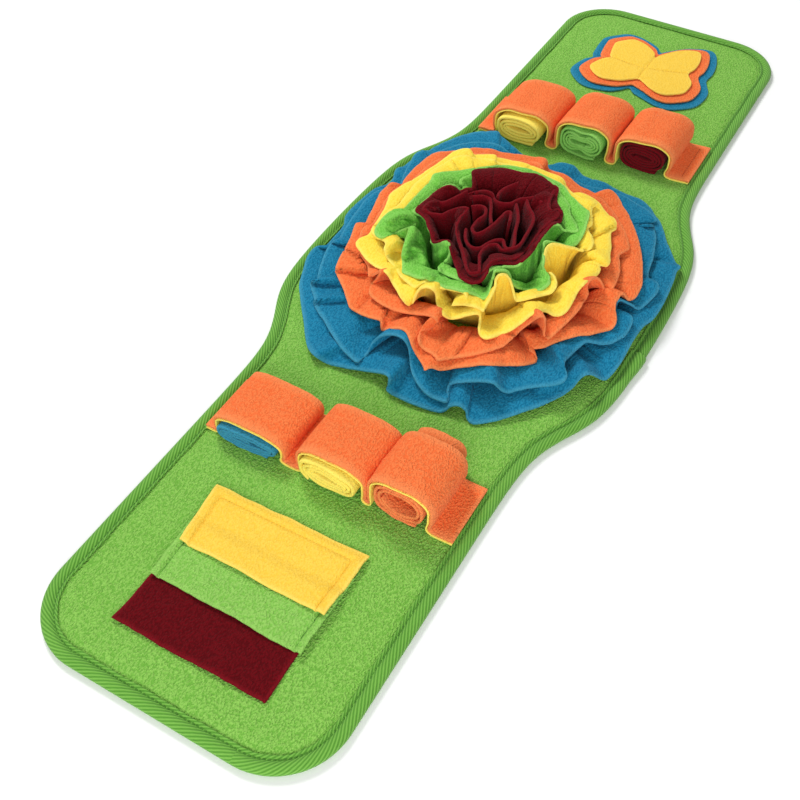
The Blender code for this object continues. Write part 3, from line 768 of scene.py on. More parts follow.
# -------------------------------------------------------------------- workshop
@dataclass
class Workshop:
    """Turns skins into pieces of the scene, with their finish and body, hiding the imported nodes they
    stand for.

    Attributes:
        finishes: the materials made so far, by name.
        faces: how many triangles the pieces have so far.
    """

    finishes: dict[str, bpy.types.Material] = field(default_factory=dict)
    faces: int = 0

    def finish(self, look: Fleece | Twill | Thread) -> bpy.types.Material:
        """The look's material, made once."""
        if look.name not in self.finishes:
            self.finishes[look.name] = look.material()
        return self.finishes[look.name]

    def piece(self, name: str, skin: Skin, look: Fleece | Twill | Thread, slot: Slot,
              *nodes: str) -> bpy.types.Object:
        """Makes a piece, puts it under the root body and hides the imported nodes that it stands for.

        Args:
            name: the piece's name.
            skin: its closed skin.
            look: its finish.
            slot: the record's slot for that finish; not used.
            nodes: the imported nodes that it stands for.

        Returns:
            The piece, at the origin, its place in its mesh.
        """
        mesh = bpy.data.meshes.new(name)
        mesh.vertices.add(len(skin.points))
        mesh.vertices.foreach_set("co", skin.points.astype(np.float32).ravel())
        corners = np.concatenate([f.ravel() for f in skin.faces]).astype(np.int32)
        sides = np.concatenate([np.full(len(f), f.shape[1]) for f in skin.faces])
        starts = np.concatenate([[0], np.cumsum(sides)[:-1]]).astype(np.int32)
        mesh.loops.add(len(corners))
        mesh.loops.foreach_set("vertex_index", corners)
        mesh.polygons.add(len(sides))
        mesh.polygons.foreach_set("loop_start", starts)
        mesh.update(calc_edges=True)
        mesh.validate()
        mesh.shade_smooth()
        mark = mesh.attributes.new("edge", "FLOAT", "POINT")
        mark.data.foreach_set("value", skin.edge.astype(np.float32))
        cloth = mesh.uv_layers.new(name="cloth")
        cloth.data.foreach_set("uv", skin.corner_cloth().astype(np.float32).ravel())
        mesh.materials.append(self.finish(look))
        thing = bpy.data.objects.new(name, mesh)
        bpy.context.scene.collection.objects.link(thing)
        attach(thing, "root")
        if nodes:
            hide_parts(*nodes)
        count = int((sides - 2).sum())
        self.faces += count
        log.info("%s: %d triangles", name, count)
        return thing


# ------------------------------------------------------------- mat and binding
@dataclass
class Outline:
    """The mat's outline: straight ends that swell out beside the flower, round corners.

    Attributes:
        length: the mat's length.
        end_half_width: half its width at the ends.
        swell: how much wider each side is beside the flower.
        swell_reach: how far from the middle half of that is left.
        shoulder: over what length the swell fades.
        crown: how much each side bows out further at the middle.
        corner: the corners' radius.
    """

    length: float = 1.000
    end_half_width: float = 0.1248
    swell: float = 0.0339
    swell_reach: float = 0.1456
    shoulder: float = 0.0713
    crown: float = 0.0062
    corner: float = 0.0568

    def half_width(self, y: Array) -> Array:
        """Half the mat's width at y, corners left out.

        The swell fades as one over one plus an exponential of the distance from the middle.

        Args:
            y: places along the mat.

        Returns:
            Half widths.
        """
        share = 1.0 / (1.0 + np.exp(4.0 * (np.abs(y) - self.swell_reach) / self.shoulder))
        crown = self.crown * np.clip(1.0 - (y / self.swell_reach) ** 2, 0.0, None)
        return self.end_half_width + (self.swell + crown) * share

    def inset(self, x: Array, y: Array) -> Array:
        """How far a place is from the outline, inwards.

        Beside a long side it is the gap in x times the cosine of the side's slope, beside an
        end the gap in y, and in a corner the radius less the distance from the corner's middle.

        Args:
            x: places across the mat.
            y: places along it.

        Returns:
            The insets.
        """
        step = 1e-4
        wide = self.half_width(y)
        slope = (self.half_width(y + step) - self.half_width(y - step)) / (2 * step)
        side = (wide - np.abs(x)) / np.sqrt(1.0 + slope ** 2)
        end = self.length / 2 - np.abs(y)
        from_x = np.abs(x) - (wide - self.corner)
        from_y = np.abs(y) - (self.length / 2 - self.corner)
        round_part = self.corner - np.hypot(from_x, from_y)
        return np.where((from_x > 0) & (from_y > 0), round_part, np.minimum(side, end))

    def points(self, count: int) -> Array:
        """The outline as evenly spaced points, counterclockwise from the near end's right."""
        side_end = self.length / 2 - self.corner
        turn = np.linspace(math.pi / 2, 0.0, 40)
        y_corner = side_end + self.corner * np.sin(turn)
        x_corner = self.half_width(y_corner) - self.corner * (1 - np.cos(turn))
        y_side = np.linspace(-side_end, side_end, 400)[1:-1]
        right = np.vstack([np.column_stack([x_corner, -y_corner]),
                           np.column_stack([self.half_width(y_side), y_side]),
                           np.column_stack([x_corner, y_corner])[::-1]])
        return even(np.vstack([right, -right]), count, True)


# The folded tape's section, inset and height in millimetres. Its outer side runs from the
# lower inner edge round the mat's edge to the upper inner edge, puffed between the fold and
# the stitches; its inner side comes back one cloth in.
TAPE_OUTER = (
    (12.3, 0.1), (9.6, 0.25), (6.0, 0.0), (3.0, 0.1), (1.2, 0.9), (0.25, 2.2),
    (0.0, 3.6), (0.25, 5.1), (1.3, 6.5), (3.2, 7.4), (5.2, 7.6), (7.2, 7.1),
    (8.5, 6.1), (9.3, 5.4), (9.9, 5.4), (10.6, 6.3), (11.4, 6.9), (12.3, 6.8),
)
TAPE_INNER = (
    (12.5, 6.3), (12.2, 5.75), (11.0, 5.2), (9.6, 4.5), (7.0, 5.6), (4.0, 6.0), (2.2, 5.2),
    (1.5, 3.6), (2.2, 2.0), (4.0, 1.2), (7.0, 1.2), (12.0, 1.15), (12.5, 0.7),
)


@dataclass
class Mat:
    """The padded fleece mat and the tape that binds its edge.

    Attributes:
        outline: the mat's outline.
        height, tape_height: how high the mat and the folded tape are.
        tape_cloth: thickness of the tape's cloth.
        fit: air between the tape and the mat's edge in it.
        tongue: half the thickness of the mat inside the tape.
        tongue_inset: where the tongue starts to widen, from the outline.
        seam_inset: where the fleece rises again beside the tape.
        seam_drop: how far it is drawn down there.
        stitch_inset, stitch_level: where the stitches' line is, from the outline and in height.
        stitch_length, stitch_pitch, stitch_radius: the stitches' sizes.
        lap_place: where the tape's ends lap.
        lap_rise: how far the upper end stands out there.
        lap_slant: how far its cut edge runs along the tape for each metre across it.
        rows, columns: the mat's grid.
        samples: places round the outline, of which the tape keeps one in each stride, and all
            of them within lap_samples of the lap.
        stitch_samples: places round the stitches' line.
    """

    outline: Outline
    height: float = 6.5 * MM
    tape_height: float = 7.0 * MM
    tape_cloth: float = 1.2 * MM
    fit: float = 0.8 * MM
    tongue: float = 1.1 * MM
    tongue_inset: float = 8.5 * MM
    seam_inset: float = 12.5 * MM
    seam_drop: float = 1.5 * MM
    stitch_inset: float = 9.6 * MM
    stitch_level: float = 5.75 * MM
    stitch_length: float = 2.6 * MM
    stitch_pitch: float = 3.4 * MM
    stitch_radius: float = 0.38 * MM
    lap_place: tuple[float, float] = (0.161, -0.030)
    lap_rise: float = 1.6 * MM
    lap_slant: float = 0.2
    rows: int = 240
    columns: int = 84
    samples: int = 6020
    stride: int = 7
    lap_samples: int = 12
    stitch_samples: int = 4400

    def top(self, x: Array, y: Array) -> Array:
        """Height of the mat's upper side.

        It is level inside, eases down to the seam beside the tape and runs on as a thinner
        tongue inside it; long and short waves of unevenness lie over that.

        Args:
            x: places across the mat.
            y: places along it.

        Returns:
            Heights.
        """
        inset = self.outline.inset(x, y)
        seam_level = self.height - self.seam_drop
        place = raised(np.stack([x, y], axis=-1), 0.0)
        puckers = 0.35 * MM * uneven(place, 0.028, 1.0) * bell((inset - 16 * MM) / (10 * MM))
        swell = 0.25 * MM * uneven(place, 0.11, 4.0)
        past_seam = inset - self.seam_inset
        level = between(seam_level, self.height, smooth(past_seam / (6 * MM)))
        level += (puckers + swell) * smooth(past_seam / (4 * MM))
        out_of_tape = smooth((inset - self.tongue_inset) / (3 * MM))
        return between(self.tape_height / 2 + self.tongue, level, out_of_tape)

    def bottom(self, x: Array, y: Array) -> Array:
        """Height of the mat's underside: flat, with the tongue inside the tape."""
        past_tongue = self.outline.inset(x, y) - self.tongue_inset - 1 * MM
        return (self.tape_height / 2 - self.tongue) * (1.0 - smooth(past_tongue / (3 * MM)))

    def build(self, shop: Workshop) -> None:
        """The mat, its tape and the tape's stitches."""
        cut = self.tape_cloth + self.fit
        radius = self.outline.corner - cut
        y = (self.outline.length / 2 - cut) * crowded(self.rows, 0.35)
        past = np.abs(y) - (self.outline.length / 2 - self.outline.corner)
        drawn = radius - np.sqrt(np.clip(radius ** 2 - np.clip(past, 0, radius) ** 2, 0, None))
        wide = self.outline.half_width(y) - cut - drawn
        x = wide[:, None] * crowded(self.columns, 0.4)
        y = np.repeat(y[:, None], self.columns, axis=1)
        top = np.stack([x, y, self.top(x, y)], axis=2)
        bottom = np.stack([x, y, self.bottom(x, y)], axis=2)
        border = ~off_border(x.shape, False)
        top[border, 2] = bottom[border, 2] = self.tape_height / 2
        points, faces = paired(top, bottom, False)
        skin = Skin(points, [part[:, ::-1] for part in faces], np.zeros(len(points)),
                    points[:, :2].copy())
        mat = shop.piece("mat_padding", skin, FLEECES[Slot.MAT], Slot.MAT, "mat_pad")
        self.build_tape(shop)

    def lap_step(self, section: Array, past: Array) -> Array:
        """How far the tape stands out where its upper end covers the lower one.

        It steps up within a millimetre, along a slanting line, and eases down over the next
        three centimetres.

        Args:
            section: the tape's section.
            past: how far each place on the path is before the lap, along it.

        Returns:
            Offsets of the section, [place on the path, place on the section, inset and height].
        """
        behind = past[:, None] + self.lap_slant * (section[:, 0] - 6 * MM)
        lap = smooth((behind + 0.6 * MM) / (1.2 * MM)) * (1 - smooth((behind - 4 * MM) / 0.03))
        middle = np.array([6.5 * MM, self.tape_height / 2])
        return unit(section - middle) * (self.lap_rise * lap)[..., None]

    def build_tape(self, shop: Workshop) -> None:
        """The tape round the edge, its samples closer at the step where its ends lap."""
        fine = self.outline.points(self.samples)
        lap_at = int(np.argmin(np.linalg.norm(fine - self.lap_place, axis=1)))
        near_lap = np.arange(-self.lap_samples, self.lap_samples + 1) + lap_at
        kept = np.union1d(np.arange(0, self.samples, self.stride), near_lap)
        path, inwards = fine[kept], inwards_of(fine)[kept]
        section = np.vstack([curve(metres(TAPE_OUTER), 34), curve(metres(TAPE_INNER), 20)])
        run = steps_round(path)
        at = np.concatenate([[0.0], np.cumsum(run)[:-1]])
        wobble = 0.22 * MM * np.sin(at / 0.0093) + 0.15 * MM * np.sin(at / 0.0041 + 1.0)
        sway = wobble[:, None] * smooth((section[:, 0] - 6 * MM) / (6 * MM))
        placed = section + self.lap_step(section, at[np.searchsorted(kept, lap_at)] - at)
        placed += np.stack([sway, 0.5 * sway], axis=2)
        flat = path[:, None] + placed[..., :1] * inwards[:, None]
        rings = raised(flat, np.maximum(placed[..., 1], 0.0))
        cloth = np.stack(np.broadcast_arrays(at[:, None], run_along(section)), axis=2)
        skin = tube_skin(rings, cloth, float(run.sum()))
        tape = shop.piece("binding_tape", skin, TWILL, Slot.BINDING, "binding")
        stitches = self.build_stitches(shop)

    def build_stitches(self, shop: Workshop) -> bpy.types.Object:
        """The line of stitches that holds the tape, on its upper side."""
        path = self.outline.points(self.stitch_samples)
        line = even(path + self.stitch_inset * inwards_of(path), self.stitch_samples, True)
        starts = even(line, int(steps_round(line).sum() / self.stitch_pitch), True)
        ends = starts + self.stitch_length * unit(np.roll(starts, -1, axis=0) - starts)
        starts, ends = (raised(places, self.stitch_level) for places in (starts, ends))
        skin = stitch_skin(starts, ends, self.stitch_radius)
        return shop.piece("binding_stitches", skin, THREADS[Slot.BINDING], Slot.BINDING)


# ------------------------------------------------------------------ the flower
@dataclass(frozen=True)
class Sight:
    """Where the camera stands, and how a place seen on a level plane is carried to its height.

    Attributes:
        azimuth_deg: turn round the mat from looking along +y.
        elevation_deg: how far the view looks down.
        roll_deg: the picture's tilt.
        eye: the camera's place.
        lens_mm, sensor_mm: the focal length, and the sensor's width.
    """

    azimuth_deg: float = 30.053
    elevation_deg: float = 48.829
    roll_deg: float = 0.1804
    eye: tuple[float, float, float] = (0.30001, -0.68487, 0.67431)
    lens_mm: float = 48.26
    sensor_mm: float = 36.0

    def slide(self, points: Array, heights: Array) -> Array:
        """Moves each point along its own line of sight until it has the given height."""
        eye = np.array(self.eye)
        share = (heights - eye[2]) / (points[..., 2] - eye[2])
        return eye + (points - eye) * share[..., None]

    def camera(self) -> None:
        """Makes the scene's camera."""
        azimuth, elevation, roll = (math.radians(a) for a in (
            self.azimuth_deg, self.elevation_deg, self.roll_deg))
        back = Vector((math.sin(azimuth) * math.cos(elevation),
                       -math.cos(azimuth) * math.cos(elevation), math.sin(elevation)))
        level = (-back).cross(Vector(UP)).normalized()
        down = (-back).cross(level)
        right = math.cos(roll) * level - math.sin(roll) * down
        below = math.sin(roll) * level + math.cos(roll) * down
        place = Matrix((right, -below, back)).transposed().to_4x4()
        place.translation = Vector(self.eye)
        camera = bpy.data.objects.new("camera", bpy.data.cameras.new("camera"))
        camera.data.lens = self.lens_mm
        camera.data.sensor_width = self.sensor_mm
        camera.matrix_world = place
        bpy.context.scene.collection.objects.link(camera)
        bpy.context.scene.camera = camera


SIGHT = Sight()

def pairs(*numbers: float) -> Array:
    """Numbers that are x and y in turn, as one place a row."""
    return np.reshape(numbers, (-1, 2))


# Each rim is a closed row of places, counterclockwise from the right: x and y in millimetres.
BLUE_UNDER = pairs(
    155, 3, 156, 20, 155, 40, 153, 60, 151, 72, 152, 80, 147, 82, 140, 91, 133, 100, 126, 110,
    120, 120, 112, 131, 104, 138, 96, 146, 88, 151, 80, 153, 70, 153, 60, 155, 53, 157, 46, 159,
    38, 159, 30, 158, 21, 159, 14, 164, 7, 169, 0, 169, -8, 167, -14, 158, -28, 154, -42, 158,
    -56, 165, -70, 173, -80, 178, -86, 183, -96, 177, -104, 171, -112, 162, -119, 150, -125, 137,
    -130, 122, -133, 110, -138, 95, -140, 83, -144, 77, -143, 70, -139, 59, -140, 48, -146, 38,
    -148, 30, -149, 14, -150, 0, -149, -12, -146, -19, -143, -25, -142, -40, -142, -60, -147, -62,
    -150, -67, -149, -76, -146, -86, -140, -100, -134, -114, -126, -125, -114, -140, -104, -152,
    -94, -165, -84, -176, -74, -181, -60, -183, -46, -180, -30, -175, -16, -170, -9, -170, -5, -176,
    -2, -184, 10, -186, 25, -186, 43, -184, 49, -180, 51, -173, 57, -169, 64, -171, 69, -178, 75, -180,
    82, -175, 92, -165, 103, -150, 112, -138, 119, -126, 125, -114, 128, -103, 129, -92, 132, -85,
    138, -83, 146, -84, 149, -79, 151, -58, 150, -30, 151, -10,
)
BLUE_OVER = pairs(
    142, -15, 140, -5, 136, -2, 132, -5, 129, -9, 125, -6, 122, 2, 121, 11, 128, 12, 134, 11, 140, 9,
    143, 18, 145, 28, 146, 38, 144, 46, 139, 50, 133, 51, 130, 56, 128, 66, 126, 78, 122, 93, 118, 106,
    112, 118, 109, 123, 99, 117, 109, 129, 105, 135, 97, 141, 86, 144, 74, 148, 62, 150, 50, 150,
    30, 146, 10, 150, -10, 152, -30, 150, -50, 152, -62, 158, -76, 163, -92, 158, -108, 145, -118, 130,
    -124, 119, -133, 117, -139, 112, -140, 103, -138, 93, -136, 82, -133, 70, -130, 60, -129, 54,
    -134, 45, -141, 38, -145, 25, -145, 13, -144, 3, -143, -8, -141, -20, -139, -32, -137, -44,
    -140, -50, -139, -60, -136, -70, -131, -84, -127, -94, -123, -103, -127, -106, -123, -112,
    -116, -119, -111, -124, -111, -127, -101, -135, -91, -141, -80, -149, -68, -157, -56, -164,
    -46, -168, -39, -169, -38, -158, -40, -146, -39, -136, -35, -130, -28, -126, -21, -126, -13, -131,
    -6, -140, 3, -153, 12, -162, 21, -168, 31, -172, 40, -172, 46, -171, 46, -167, 42, -162, 40, -152,
    48, -144, 56, -139, 63, -135, 70, -133, 75, -135, 80, -137, 85, -136, 90, -130, 96, -124,
    104, -117, 112, -111, 118, -104, 119, -97, 117, -92, 112, -86, 110, -80, 112, -68, 114, -58,
    116, -51, 121, -49, 128, -47, 135, -42, 140, -32, 142, -27,
)
ORANGE_UNDER = pairs(
    123, -2, 123, 3, 125, 6, 129, 3, 132, 1, 135, 6, 135, 16, 134, 24, 131, 33, 127, 43, 122, 55,
    115, 68, 108, 80, 102, 89, 95, 98, 87, 108, 79, 116, 72, 124, 65, 131, 59, 134, 55, 132, 53, 125,
    48, 121, 40, 123, 33, 124, 25, 127, 16, 132, 7, 134, 0, 133, -7, 134, -12, 142, -16, 147, -22, 147,
    -28, 144, -40, 141, -48, 138, -58, 135, -67, 135, -78, 131, -86, 127, -90, 122, -98, 115,
    -106, 109, -112, 104, -116, 97, -118, 90, -119, 79, -120, 68, -120, 57, -119, 47, -118, 40,
    -128, 38, -129, 30, -129, 20, -127, 10, -124, 0, -122, -9, -120, -18, -118, -28, -125, -30,
    -124, -36, -121, -44, -118, -54, -116, -63, -114, -73, -112, -82, -108, -94, -103, -99, -96, -105,
    -90, -110, -83, -117, -77, -123, -72, -128, -66, -130, -57, -131, -48, -130, -41, -129, -37, -134,
    -34, -138, -30, -136, -26, -132, -21, -129, -15, -130, -8, -136, -2, -142, 5, -148, 12, -153,
    18, -158, 20, -160, 23, -155, 30, -154, 34, -151, 40, -145, 49, -138, 56, -132, 65, -127, 74, -122,
    83, -117, 89, -112, 94, -106, 92, -102, 88, -98, 83, -97, 85, -94, 92, -88, 95, -83, 100, -75,
    106, -67, 112, -60, 119, -55, 127, -46, 132, -40, 133, -34, 132, -28, 129, -22, 125, -14, 123, -7,
)
ORANGE_OVER = pairs(
    99, -20, 98, -10, 95, -4, 93, 2, 93, 8, 96, 12, 100, 12, 104, 8, 109, 2, 113, 0, 114, 8, 113, 18,
    111, 29, 107, 39, 102, 50, 104, 57, 106, 64, 101, 73, 95, 82, 88, 90, 80, 99, 72, 106, 64, 112,
    56, 117, 48, 116, 38, 117, 28, 120, 16, 125, 5, 127, -6, 127, -14, 134, -21, 138, -30, 134,
    -42, 131, -56, 127, -68, 126, -80, 120, -92, 110, -102, 100, -108, 90, -111, 78, -112, 65,
    -112, 52, -112, 42, -119, 34, -120, 22, -119, 10, -116, 0, -114, -12, -112, -24, -116, -33,
    -113, -44, -108, -56, -100, -65, -90, -72, -85, -76, -81, -82, -77, -87, -75, -82, -73, -76,
    -71, -84, -71, -92, -69, -100, -65, -106, -56, -110, -46, -112, -36, -112, -26, -110, -18, -107,
    -11, -104, -5, -103, 0, -105, 2, -109, 0, -116, -5, -122, -4, -129, 1, -136, 8, -140, 15, -141,
    20, -143, 24, -145, 33, -137, 40, -131, 46, -125, 54, -116, 60, -108, 63, -103, 64, -97, 66, -88,
    67, -79, 70, -68, 73, -58, 76, -55, 79, -57, 82, -62, 84, -67, 86, -73, 89, -77, 92, -76, 94, -67,
    96, -56, 98, -43, 99, -32,
)
YELLOW_UNDER = pairs(
    101, 0, 100, 5, 98, 9, 103, 11, 104, 16, 103, 20, 100, 26, 97, 36, 93, 45, 90, 52, 89, 56, 91, 61,
    90, 65, 88, 70, 84, 74, 80, 75, 75, 78, 70, 82, 65, 87, 60, 90, 54, 92, 45, 93, 40, 91, 37, 89,
    31, 92, 26, 97, 21, 103, 14, 106, 4, 106, -10, 107, -25, 107, -35, 105, -45, 103, -49, 102,
    -52, 105, -57, 103, -64, 98, -71, 95, -76, 100, -80, 101, -85, 96, -89, 88, -90, 80, -92, 70,
    -95, 56, -98, 42, -101, 30, -105, 20, -108, 4, -105, -8, -102, -18, -99, -35, -98, -46, -96, -53,
    -96, -59, -99, -65, -100, -70, -97, -75, -91, -79, -85, -83, -80, -86, -72, -89, -60, -91,
    -52, -95, -45, -101, -38, -106, -32, -111, -26, -115, -20, -117, -19, -112, -21, -104, -22, -96,
    -19, -91, -13, -90, -8, -93, -4, -99, 1, -106, 7, -111, 14, -114, 19, -113, 24, -108, 27, -104,
    35, -97, 40, -104, 43, -112, 47, -118, 52, -120, 57, -116, 63, -107, 68, -97, 71, -86, 73, -77,
    77, -70, 82, -66, 90, -67, 95, -63, 97, -54, 96, -40, 95, -28, 97, -15, 100, -8,
)
YELLOW_OVER = pairs(
    51, -2, 49, 5, 49, 11, 51, 15, 55, 17, 62, 18, 70, 19, 78, 20, 82, 24, 82, 31, 80, 36, 77, 41,
    73, 45, 69, 50, 70, 56, 67, 64, 63, 72, 61, 79, 62, 86, 55, 88, 45, 87, 34, 90, 22, 97, 8, 100,
    -10, 100, -28, 100, -42, 96, -52, 98, -64, 91, -76, 90, -84, 82, -87, 70, -92, 52, -94, 40,
    -96, 28, -95, 15, -94, 0, -94, -10, -97, -18, -98, -30, -98, -44, -95, -52, -88, -56, -80, -57,
    -76, -60, -74, -66, -68, -73, -60, -79, -52, -84, -45, -89, -36, -93, -27, -96, -24, -92, -22, -87,
    -18, -84, -8, -85, 0, -83, 10, -81, 14, -82, 18, -86, 18, -92, 11, -99, 20, -93, 31, -91, 37, -92,
    36, -85, 34, -69, 32, -60, 29, -52, 29, -46, 33, -43, 38, -45, 43, -51, 48, -58, 52, -64, 55, -67,
    59, -64, 65, -57, 71, -50, 76, -44, 77, -38, 76, -31, 73, -26, 69, -22, 65, -21, 60, -24, 56, -16,
    53, -7,
)
GREEN_UNDER = pairs(
    49, 0, 46, 8, 44, 14, 50, 17, 58, 18, 66, 19, 69, 24, 69, 40, 66, 54, 63, 66, 60, 73, 54, 75,
    46, 80, 39, 84, 33, 88, 28, 92, 22, 96, 12, 98, 0, 100, -12, 101, -25, 99, -38, 94, -50, 85,
    -60, 75, -72, 64, -87, 51, -86, 40, -86, 26, -87, 12, -87, 0, -88, -12, -95, -17, -97, -27,
    -96, -40, -94, -49, -89, -54, -83, -54, -78, -47, -74, -38, -70, -30, -67, -36, -64, -45, -61, -54,
    -57, -64, -52, -72, -48, -79, -45, -84, -38, -84, -30, -84, -22, -81, -15, -82, -7, -83, 2, -81,
    10, -80, 20, -78, 30, -79, 32, -72, 29, -62, 26, -52, 23, -44, 27, -41, 32, -40, 37, -43, 42, -49,
    48, -52, 56, -51, 63, -50, 68, -43, 70, -34, 68, -28, 62, -23, 57, -17, 53, -8,
)
GREEN_OVER = pairs(
    39, -5, 38, 10, 39, 35, 42, 40, 46, 41, 50, 38, 54, 37, 58, 38, 63, 42, 60, 47, 55, 52, 50, 57,
    46, 62, 42, 70, 38, 74, 35, 77, 30, 81, 26, 84, 24, 88, 21, 91, 16, 94, 8, 96, -5, 97, -20, 95,
    -36, 88, -48, 78, -56, 68, -62, 57, -61, 50, -57, 47, -52, 49, -54, 42, -60, 43, -65, 44, -70, 41,
    -72, 35, -75, 20, -77, 5, -78, -8, -75, -10, -68, -10, -62, -12, -58, -17, -54, -23, -50, -26,
    -46, -30, -44, -36, -42, -38, -36, -34, -31, -30, -28, -32, -24, -38, -21, -45, -20, -55, -21, -62,
    -20, -66, -10, -68, 0, -68, 8, -68, 14, -67, 18, -62, 19, -55, 19, -45, 21, -41, 25, -37, 32, -32,
    37, -27, 38, -18,
)
MAROON_UNDER = pairs(
    43, 0, 43, 14, 44, 28, 48, 33, 47, 40, 44, 47, 40, 51, 34, 57, 30, 66, 26, 77, 18, 80, 8, 84,
    0, 85, -14, 81, -30, 78, -42, 70, -53, 61, -48, 51, -42, 38, -46, 34, -50, 27, -57, 30, -63, 29,
    -67, 20, -69, 4, -71, -9, -70, -17, -63, -20, -56, -24, -50, -31, -44, -37, -36, -47, -31, -42,
    -26, -39, -19, -47, -11, -57, -3, -66, 4, -74, 12, -77, 19, -76, 23, -70, 23, -60, 21, -50,
    25, -43, 32, -40, 39, -37, 42, -30, 44, -14,
)
MAROON_OVER = pairs(
    39, -10, 39, 10, 40, 26, 43, 40, 40, 46, 36, 44, 32, 48, 28, 56, 25, 64, 20, 66, 16, 60, 14, 54,
    9, 50, 3, 45, 0, 38, -5, 33, -12, 31, -18, 34, -23, 39, -29, 40, -34, 37, -39, 31, -44, 22,
    -50, 12, -57, 5, -64, 2, -67, -8, -62, -13, -53, -12, -46, -8, -42, 0, -37, 8, -31, 9, -31, -5,
    -29, -17, -22, -29, -11, -43, -2, -55, 5, -64, 11, -68, 17, -66, 20, -56, 20, -45, 25, -37,
    33, -33, 38, -24,
)


@dataclass(frozen=True)
class Fold:
    """A fold of a ply, placed along a line that is seen on the rim's level plane.

    Attributes:
        line: the line's places, in millimetres.
        lift_mm: how high its ridge stands, or below zero how deep its hollow is.
        width_mm: how far it reaches to each side.
        knife: whether it stops at once on the line's left, as a pleat's edge does.
    """

    line: Array
    lift_mm: float
    width_mm: float
    knife: bool

    def lift(self, seen: Array) -> Array:
        """How much it raises each place.

        The lift is a bell of the distance to the line. A knife fold fades as an exponential
        on the line's right, and is nothing on its left.
        """
        line = curve(self.line, 40) * MM
        gap = seen[..., None, :2] - line
        nearest = np.argmin((gap ** 2).sum(axis=-1), axis=-1)
        gap = np.take_along_axis(gap, nearest[..., None, None], axis=-2)[..., 0, :]
        distance = np.linalg.norm(gap, axis=-1) / (self.width_mm * MM)
        if not self.knife:
            return self.lift_mm * MM * bell(distance)
        along = unit(np.gradient(line, axis=0))[nearest]
        right = gap[..., 0] * along[..., 1] - gap[..., 1] * along[..., 0]
        past = np.abs((gap * along).sum(axis=-1)) / (6 * MM)
        return self.lift_mm * MM * smooth(right / (1.6 * MM)) * np.exp(-distance - past ** 2)


def hand_folds(*rows: tuple) -> tuple[Fold, ...]:
    """Folds from rows of lift, width, 1 for a knife fold or else 0, and x and y in turn."""
    return tuple(Fold(pairs(*line), lift, width, bool(knife))
                 for lift, width, knife, *line in rows)


@dataclass
class Rim:
    """The free edge of one ply.

    Attributes:
        places: where it is seen on a level plane, in millimetres.
        plane_mm: that plane's height.
        rise_mm: the edge's usual height.
        seam_mm: radius of the ring along which the ply is sewn.
        folds: the folds that are listed one by one.
    """

    places: Array
    plane_mm: float
    rise_mm: float
    seam_mm: float
    folds: tuple[Fold, ...]


# The folds of each ruffle's lower and upper ply.
BLUE_FOLDS = (
    hand_folds(
        (12, 26, 0, -70, 170, -86, 186), (-6, 14, 1, 152, 80, 131, 76), (-5, 12, 1, 131, 76, 132, 50),
        (-6, 16, 1, -142, -60, -118, -52), (-6, 16, 1, -118, 40, -148, 34),
        (6, 8, 0, -60, -150, -76, -182), (8, 8, 0, -6, -150, -9, -172), (8, 8, 0, 104, -110, 132, -84),
    ),
    hand_folds(
        (-7, 18, 1, -127, -106, -105, -96), (-7, 16, 1, -111, -127, -91, -112),
        (-6, 18, 1, -140, -50, -112, -44), (8, 14, 1, -130, 56, -108, 50),
        (-6, 18, 1, -133, 117, -110, 96), (-6, 12, 1, 99, 117, 112, 124), (-7, 14, 1, 121, 8, 142, 9),
        (8, 9, 0, 112, -86, 96, -70), (9, 13, 0, -20, -126, -16, -108), (8, 13, 0, 68, -133, 58, -112),
        (-6, 9, 0, 42, -160, 24, -128), (-5, 9, 0, -40, -160, -52, -134),
    ),
)
ORANGE_FOLDS = (
    hand_folds(
        (-7, 12, 1, -108, -93, -83, -83), (8, 14, 1, -116, -66, -88, -74),
        (-6, 10, 1, -61, -108, -62, -128), (-6, 10, 1, -36, -138, -46, -112),
        (-6, 16, 1, -118, 40, -100, 30), (6, 8, 0, 20, -160, 16, -140),
        (-7, 10, 0, 126, -40, 100, -40), (-7, 9, 0, 93, -104, 78, -92), (6, 9, 0, -16, 148, -12, 134),
    ),
    hand_folds(
        (-6, 10, 1, 113, -2, 101, -20), (-6, 10, 1, 88, -79, 66, -90), (-6, 12, 1, 32, -128, 31, -103),
        (8, 7, 0, -78, -88, -68, -64), (-7, 8, 0, -71, -92, -58, -80), (9, 9, 0, 0, -106, -4, -92),
        (-7, 9, 0, -4, -124, 8, -112), (9, 9, 0, 75, -56, 70, -40), (8, 8, 0, 94, 6, 82, 4),
        (-6, 14, 1, -112, 45, -92, 38),
    ),
)
YELLOW_FOLDS = (
    hand_folds(
        (-6, 9, 1, 88, -14, 80, -38), (-6, 9, 1, 66, -74, 50, -90), (-5, 9, 1, 78, 43, 86, 63),
        (6, 6, 0, 102, 17, 80, 20), (-9, 9, 0, 45, -98, 62, -108), (8, 7, 0, -22, -112, -30, -88),
        (8, 8, 0, -14, -92, -10, -78), (4, 6, 0, -50, 104, -44, 88),
    ),
    hand_folds(
        (6, 6, 0, -72, -24, -72, -66), (-10, 8, 0, -62, -66, -50, -82),
        (-6, 12, 1, -96, -40, -84, -30), (-5, 9, 1, 76, -8, 78, 20), (-5, 9, 1, -41, 88, -52, 100),
        (-5, 9, 1, -72, 66, -88, 77), (8, 5, 0, 31, -46, 38, -70, 42, -92),
        (-4, 7, 0, 60, -24, 68, -44), (6, 6, 0, 16, -84, 20, -74),
    ),
)
